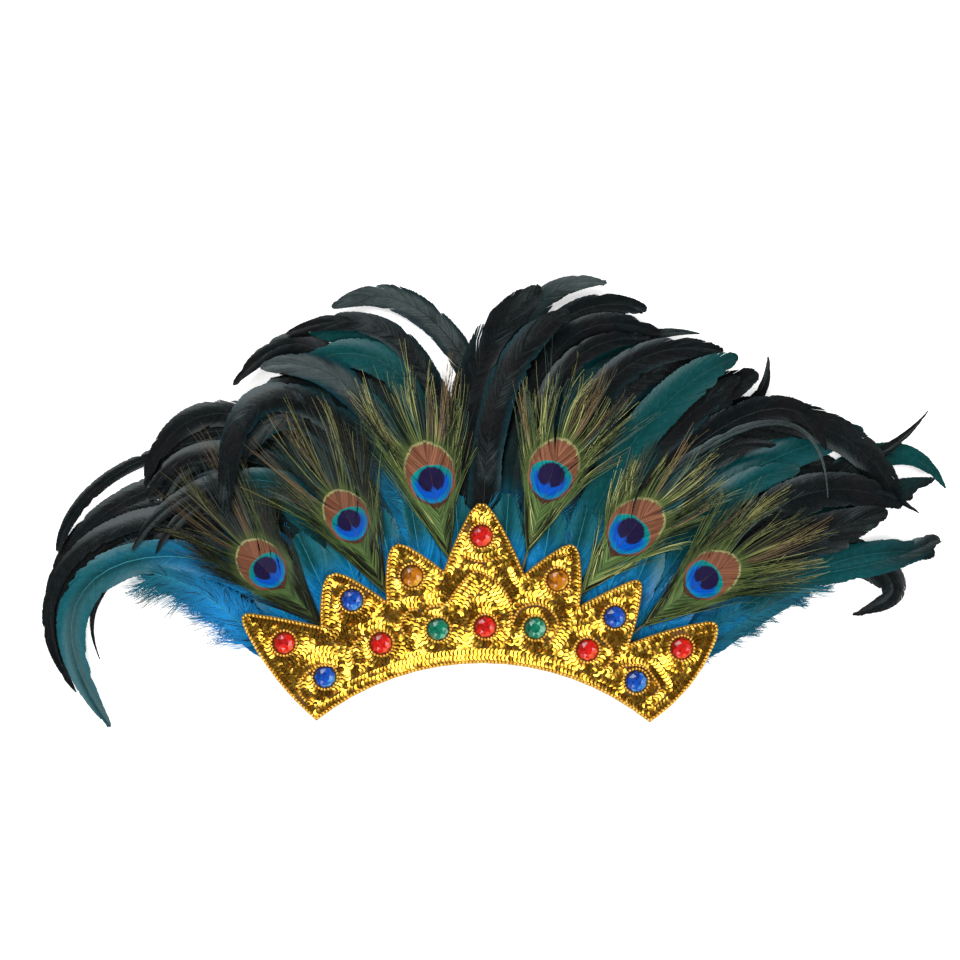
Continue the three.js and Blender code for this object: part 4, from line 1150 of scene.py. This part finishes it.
stone_chance = np.random.default_rng(STONE_SEED)
for colour, (dark, full, bright) in STONE_COLOURS.items():
    stone_finish, stone_shader, gem = finish(f"{colour}_acrylic_stone", coat_weight=0.3)
    gem_depth = gem.grain(260.0, 1.0)
    gem_light = gem.mark("face_light") * 0.8 + gem_depth * 0.2
    stops = [(0.0, paint(*dark)), (0.5, paint(*full)), (0.82, paint(*full)), (1.0, paint(*bright))]
    gem.add("ValToRGB", {"stops": stops}, {"Fac": gem_light}).into(stone_shader, "Base Color")
    (0.16 + gem_depth * 0.1).into(stone_shader, "Roughness")
    for number, row in enumerate(STONES, 1):
        if row["colour"] != colour:
            continue
        seat = in_frame([*on_ring(row["deg"], row["radius"]), STONE["seat"]])
        shape = cut_stone(seat, stone_chance.uniform(0, 1))
        stone = piece_from(f"cut_stone_{number:02d}", shape, stone_finish)
        normals = np.array([face.normal[:] for face in stone.data.polygons])
        table = FACE_LIGHT["table_dim"] * normals[:, 2] ** FACE_LIGHT["table_power"]
        away = normals @ np.array(FACE_LIGHT["towards"]) - table
        # A stone's faces come in any order, so they are lit in the order of their places.
        centres = np.array([face.center[:] for face in stone.data.polygons])
        order = np.lexsort(np.round(centres / MM, 2).T)
        lights = np.zeros(len(normals))
        lights[order] = stone_chance.normal(FACE_LIGHT["middle"], FACE_LIGHT["spread"], len(normals))
        lights = np.clip(lights + away, 0, 1)
        face_light = stone.data.attributes.new("face_light", "FLOAT", "FACE")
        face_light.data.foreach_set("value", lights.astype(np.float32))
        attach(stone, "root")
        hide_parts(f"stone_{number:02d}")

# Bead rings
# A ring of slightly smaller gold beads, the same plated kind, is sewn down flat on the satin round
# each stone and hides the stone's glued edge.
RING_RADIUS = 9.5
RING_COUNT = 24
RING_BEAD = {"radius": 1.25, "height": 17.4, "seed": 13}
rings = []
for row in STONES:
    turns = np.linspace(0, 2 * np.pi, RING_COUNT, endpoint=False)
    centre = on_ring(row["deg"], row["radius"])
    rim = centre + RING_RADIUS * np.stack([np.cos(turns), np.sin(turns)], axis=-1)
    rings.append((rim, turns + np.pi / 2))
ring_beads = sewn_beads("stone_bead_rings", rings, RING_BEAD)
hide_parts(*[f"bead_ring_{n:02d}" for n in range(1, len(STONES) + 1)])

# Bead scrolls
# Lines of the same small beads wander between the stones in arches and curls. Each is one string, sewn
# down on the satin through the points that it bends at.
SCROLL_BEAD = {"radius": 1.3, "pitch": 2.6, "height": 18.2, "seed": 15}
SCROLLS = [
    [(-23, 30), (-20, 36), (-6, 51), (8, 46), (15, 39), (22, 26), (22, 11)],
    [(-23, 30), (-31, 26), (-39, 25), (-45, 19)],
    [(-48, 23), (-55, 22), (-59, 16), (-61, 11), (-58, 4)],
    [(22, 11), (28, 23), (38, 27), (48, 25), (55, 18), (57, 11), (55, 4), (50, -2)],
    [(89, 2), (95, -4), (98, -10), (96, -17), (92, -21)],
    [(102, -21), (108, -19), (118, -19), (124, -22), (130, -30), (133, -36), (128, -43)],
    [(-89, 3), (-95, -2), (-98, -10), (-96, -18)],
    [(-108, -20), (-116, -19), (-125, -20), (-134, -28), (-137, -38), (-132, -46)],
    [(-14, 63), (-7, 60), (0, 59), (7, 60), (14, 63)],
]


def rounded_line(points, steps=8):
    """A smooth line through some points."""
    points = np.array(points, float)
    ends = np.concatenate([[2 * points[0] - points[1]], points, [2 * points[-1] - points[-2]]])
    t = np.linspace(0, 1, steps, endpoint=False)[:, None]
    run = []
    for a, b, c, d in zip(ends, ends[1:], ends[2:], ends[3:]):
        bow = (2 * a - 5 * b + 4 * c - d) * t ** 2
        sway = (3 * b - a - 3 * c + d) * t ** 3
        run.append(0.5 * (2 * b + (c - a) * t + bow + sway))
    return np.concatenate([*run, points[-1:]])


scroll_lines = [rounded_line(points) for points in SCROLLS]
scroll_strings = [strung_along(line, SCROLL_BEAD["pitch"]) for line in scroll_lines]
sewn_beads("bead_scrolls", scroll_strings, SCROLL_BEAD)

# Sequins
# Small cupped gold sequins, threaded in overlapping rows that follow the edges, the rings and the
# scrolls. Each leans on the next, so a row is bright or dark by the way it runs to the light.
SEQUIN = {"radius": 2.7, "hole": 0.45, "cup": 0.16, "sides": 10, "pitch": 3.0, "row": 4.0, "lean": 0.4}
# Rings of the cup from the hole outwards: the share of the radius and of the depth.
SEQUIN_RINGS = [(0.6, 0.3), (1.0, 1.0)]
SEQUIN_STRAYS = {"lean": 0.04, "roll": 0.05, "turn": 0.05}
ROW_START = {"edge": 4.7, "ring": 12.8, "scroll": 3.4}
# How close a sequin may come to its own row, how far a row may miss its line, and its longest run.
ROW = {
    "closest": 1.2, "start_miss": 0.5, "miss": 0.6, "longest": 400, "slope_step": 0.2,
    "least_slope": 0.3,
}
# The places where a row may start, on a grid over the crown.
START_GRID = {"pitch": 1.3, "across": (-200.0, 200.0), "up": (-70, 125), "near": 0.7}
SEQUIN_HEIGHT = PANEL_TOP + 0.95
SEQUIN_SEED = 31
SEQUIN_GOLD = (198, 140, 30)
SEQUIN_PALE = (230, 190, 80)

outline_runs = np.roll(outline, -1, axis=0) - outline
scroll_starts = np.concatenate([line[:-1] for line in scroll_lines])
scroll_runs = np.concatenate([np.diff(line, axis=0) for line in scroll_lines])
stone_middles = np.array([on_ring(row["deg"], row["radius"]) for row in STONES])


def from_lines(points, starts, runs):
    """The distance of each point from the nearest of many short lines."""
    offset = points[:, None] - starts
    share = np.clip((offset * runs).sum(-1) / (runs * runs).sum(-1), 0, 1)
    return np.linalg.norm(offset - share[..., None] * runs, axis=-1).min(axis=1)


def depth_in_field(points):
    """How far a point lies into the open satin between the edge, the rings and the scrolls."""
    points = np.atleast_2d(points)
    edge = from_lines(points, outline, outline_runs) - ROW_START["edge"]
    ring = np.linalg.norm(points[:, None] - stone_middles, axis=-1).min(axis=1) - ROW_START["ring"]
    scroll = from_lines(points, scroll_starts, scroll_runs) - ROW_START["scroll"]
    return np.minimum(np.minimum(edge, ring), scroll)


def inside_crown(points):
    """Whether each point lies within the crown's outline."""
    x, y = points[:, 0, None], points[:, 1, None]
    ax, ay = outline[:, 0], outline[:, 1]
    bx, by = np.roll(ax, -1), np.roll(ay, -1)
    crossing = ((ay > y) != (by > y)) & (x < (bx - ax) * (y - ay) / (by - ay + 1e-12) + ax)
    return crossing.sum(axis=1) % 2 == 1


class SequinRows:
    """Rows of sequins laid along lines of even depth, each row stopping where it meets another."""

    def __init__(self):
        self.laid = []
        self.cells = {}

    def cell(self, point):
        return int(point[0] // SEQUIN["row"]), int(point[1] // SEQUIN["row"])

    def crowded(self, point, skip):
        cell = self.cell(point)
        for i in range(cell[0] - 1, cell[0] + 2):
            for j in range(cell[1] - 1, cell[1] + 2):
                for number in self.cells.get((i, j), ()):
                    gap = math.hypot(*(self.laid[number][0] - point))
                    least = SEQUIN["pitch"] if number < self.row_first else ROW["closest"]
                    if number not in skip and gap < least:
                        return True
        return False

    def lay(self, point, turn):
        self.cells.setdefault(self.cell(point), []).append(len(self.laid))
        self.laid.append((point, turn))

    def settle(self, point, level):
        for _ in range(2):
            around = point + np.array([(0, 0), (1, 0), (0, 1)]) * ROW["slope_step"]
            here, east, north = depth_in_field(around)
            slope = np.array([east - here, north - here]) / ROW["slope_step"]
            steep = max(ROW["least_slope"], math.hypot(*slope))
            point = point + slope / steep ** 2 * (level - here)
        return point, slope / steep, abs(depth_in_field(point)[0] - level)

    def walk(self, start, level):
        self.row_first = len(self.laid)
        seed, slope, miss = self.settle(start, level)
        if miss > ROW["start_miss"] or self.crowded(seed, ()):
            return
        heading = np.array([-slope[1], slope[0]])
        self.lay(seed, math.atan2(heading[1], heading[0]))
        for way in (1, -1):
            point, ahead, recent = seed, heading * way, [self.row_first, len(self.laid) - 1]
            for _ in range(ROW["longest"]):
                point, slope, miss = self.settle(point + ahead * SEQUIN["pitch"], level)
                along_row = np.array([-slope[1], slope[0]])
                along_row = along_row if along_row @ ahead > 0 else -along_row
                if miss > ROW["miss"] or self.crowded(point, recent[-2:]):
                    break
                ahead = along_row
                recent.append(len(self.laid))
                self.lay(point, math.atan2(*(ahead * way)[::-1]))


grid_x = np.arange(*START_GRID["across"], START_GRID["pitch"])
grid_y = grid_x[(grid_x > START_GRID["up"][0]) & (grid_x < START_GRID["up"][1])]
starts = np.stack(np.meshgrid(grid_x, grid_y, indexing="ij"), axis=-1).reshape(-1, 2)
starts = starts[inside_crown(starts)]
start_depth = depth_in_field(starts)
sequin_rows = SequinRows()
for level in np.arange(0, start_depth.max(), SEQUIN["row"]):
    for start in starts[np.abs(start_depth - level) < START_GRID["near"]]:
        sequin_rows.walk(start, level)

sequin_shape = bmesh.new()
hole = SEQUIN["hole"] * MM
disc = bmesh.ops.create_circle(sequin_shape, cap_ends=False, segments=SEQUIN["sides"], radius=hole)
rim = disc["verts"]
for width, depth in SEQUIN_RINGS:
    rim_edges = [e for e in sequin_shape.edges if all(v in rim for v in e.verts)]
    grown = bmesh.ops.extrude_edge_only(sequin_shape, edges=rim_edges)
    rim = [v for v in grown["geom"] if isinstance(v, bmesh.types.BMVert)]
    for v in rim:
        v.co.xy = v.co.xy.normalized() * SEQUIN["radius"] * width * MM
        v.co.z = SEQUIN["cup"] * depth * MM
bmesh.ops.recalc_face_normals(sequin_shape, faces=sequin_shape.faces)
if sum(f.normal.z for f in sequin_shape.faces) < 0:
    bmesh.ops.reverse_faces(sequin_shape, faces=sequin_shape.faces)
for face in sequin_shape.faces:
    face.smooth = True

sequin_chance = np.random.default_rng(SEQUIN_SEED)
sequin_at = []
for (x, y), turn in sequin_rows.laid:
    at = in_frame([x, y, SEQUIN_HEIGHT])
    lean = Matrix.Rotation(-SEQUIN["lean"] + sequin_chance.normal(0, SEQUIN_STRAYS["lean"]), 4, "Y")
    roll = Matrix.Rotation(sequin_chance.normal(0, SEQUIN_STRAYS["roll"]), 4, "X")
    swing = Matrix.Rotation(turn + sequin_chance.normal(0, SEQUIN_STRAYS["turn"]), 4, "Z")
    sequin_at.append(Matrix.Translation(at) @ swing @ roll @ lean)

sequin_finish, sequin_shader, foil = finish("gold_sequin", metallic=1.0)
sequin_film = foil.grain(300.0, 2.0)
sequin_tint = foil.mark("copy") * 0.6 + sequin_film * 0.4
sequin_tint.between(paint(*SEQUIN_GOLD), paint(*SEQUIN_PALE)).into(sequin_shader, "Base Color")
(0.16 + sequin_film * 0.14).into(sequin_shader, "Roughness")
sequin_tints = sequin_chance.random(len(sequin_at))
sequins = strew("sequin_rows", sequin_shape, sequin_at, sequin_finish, sequin_tints)
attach(sequins, "root")
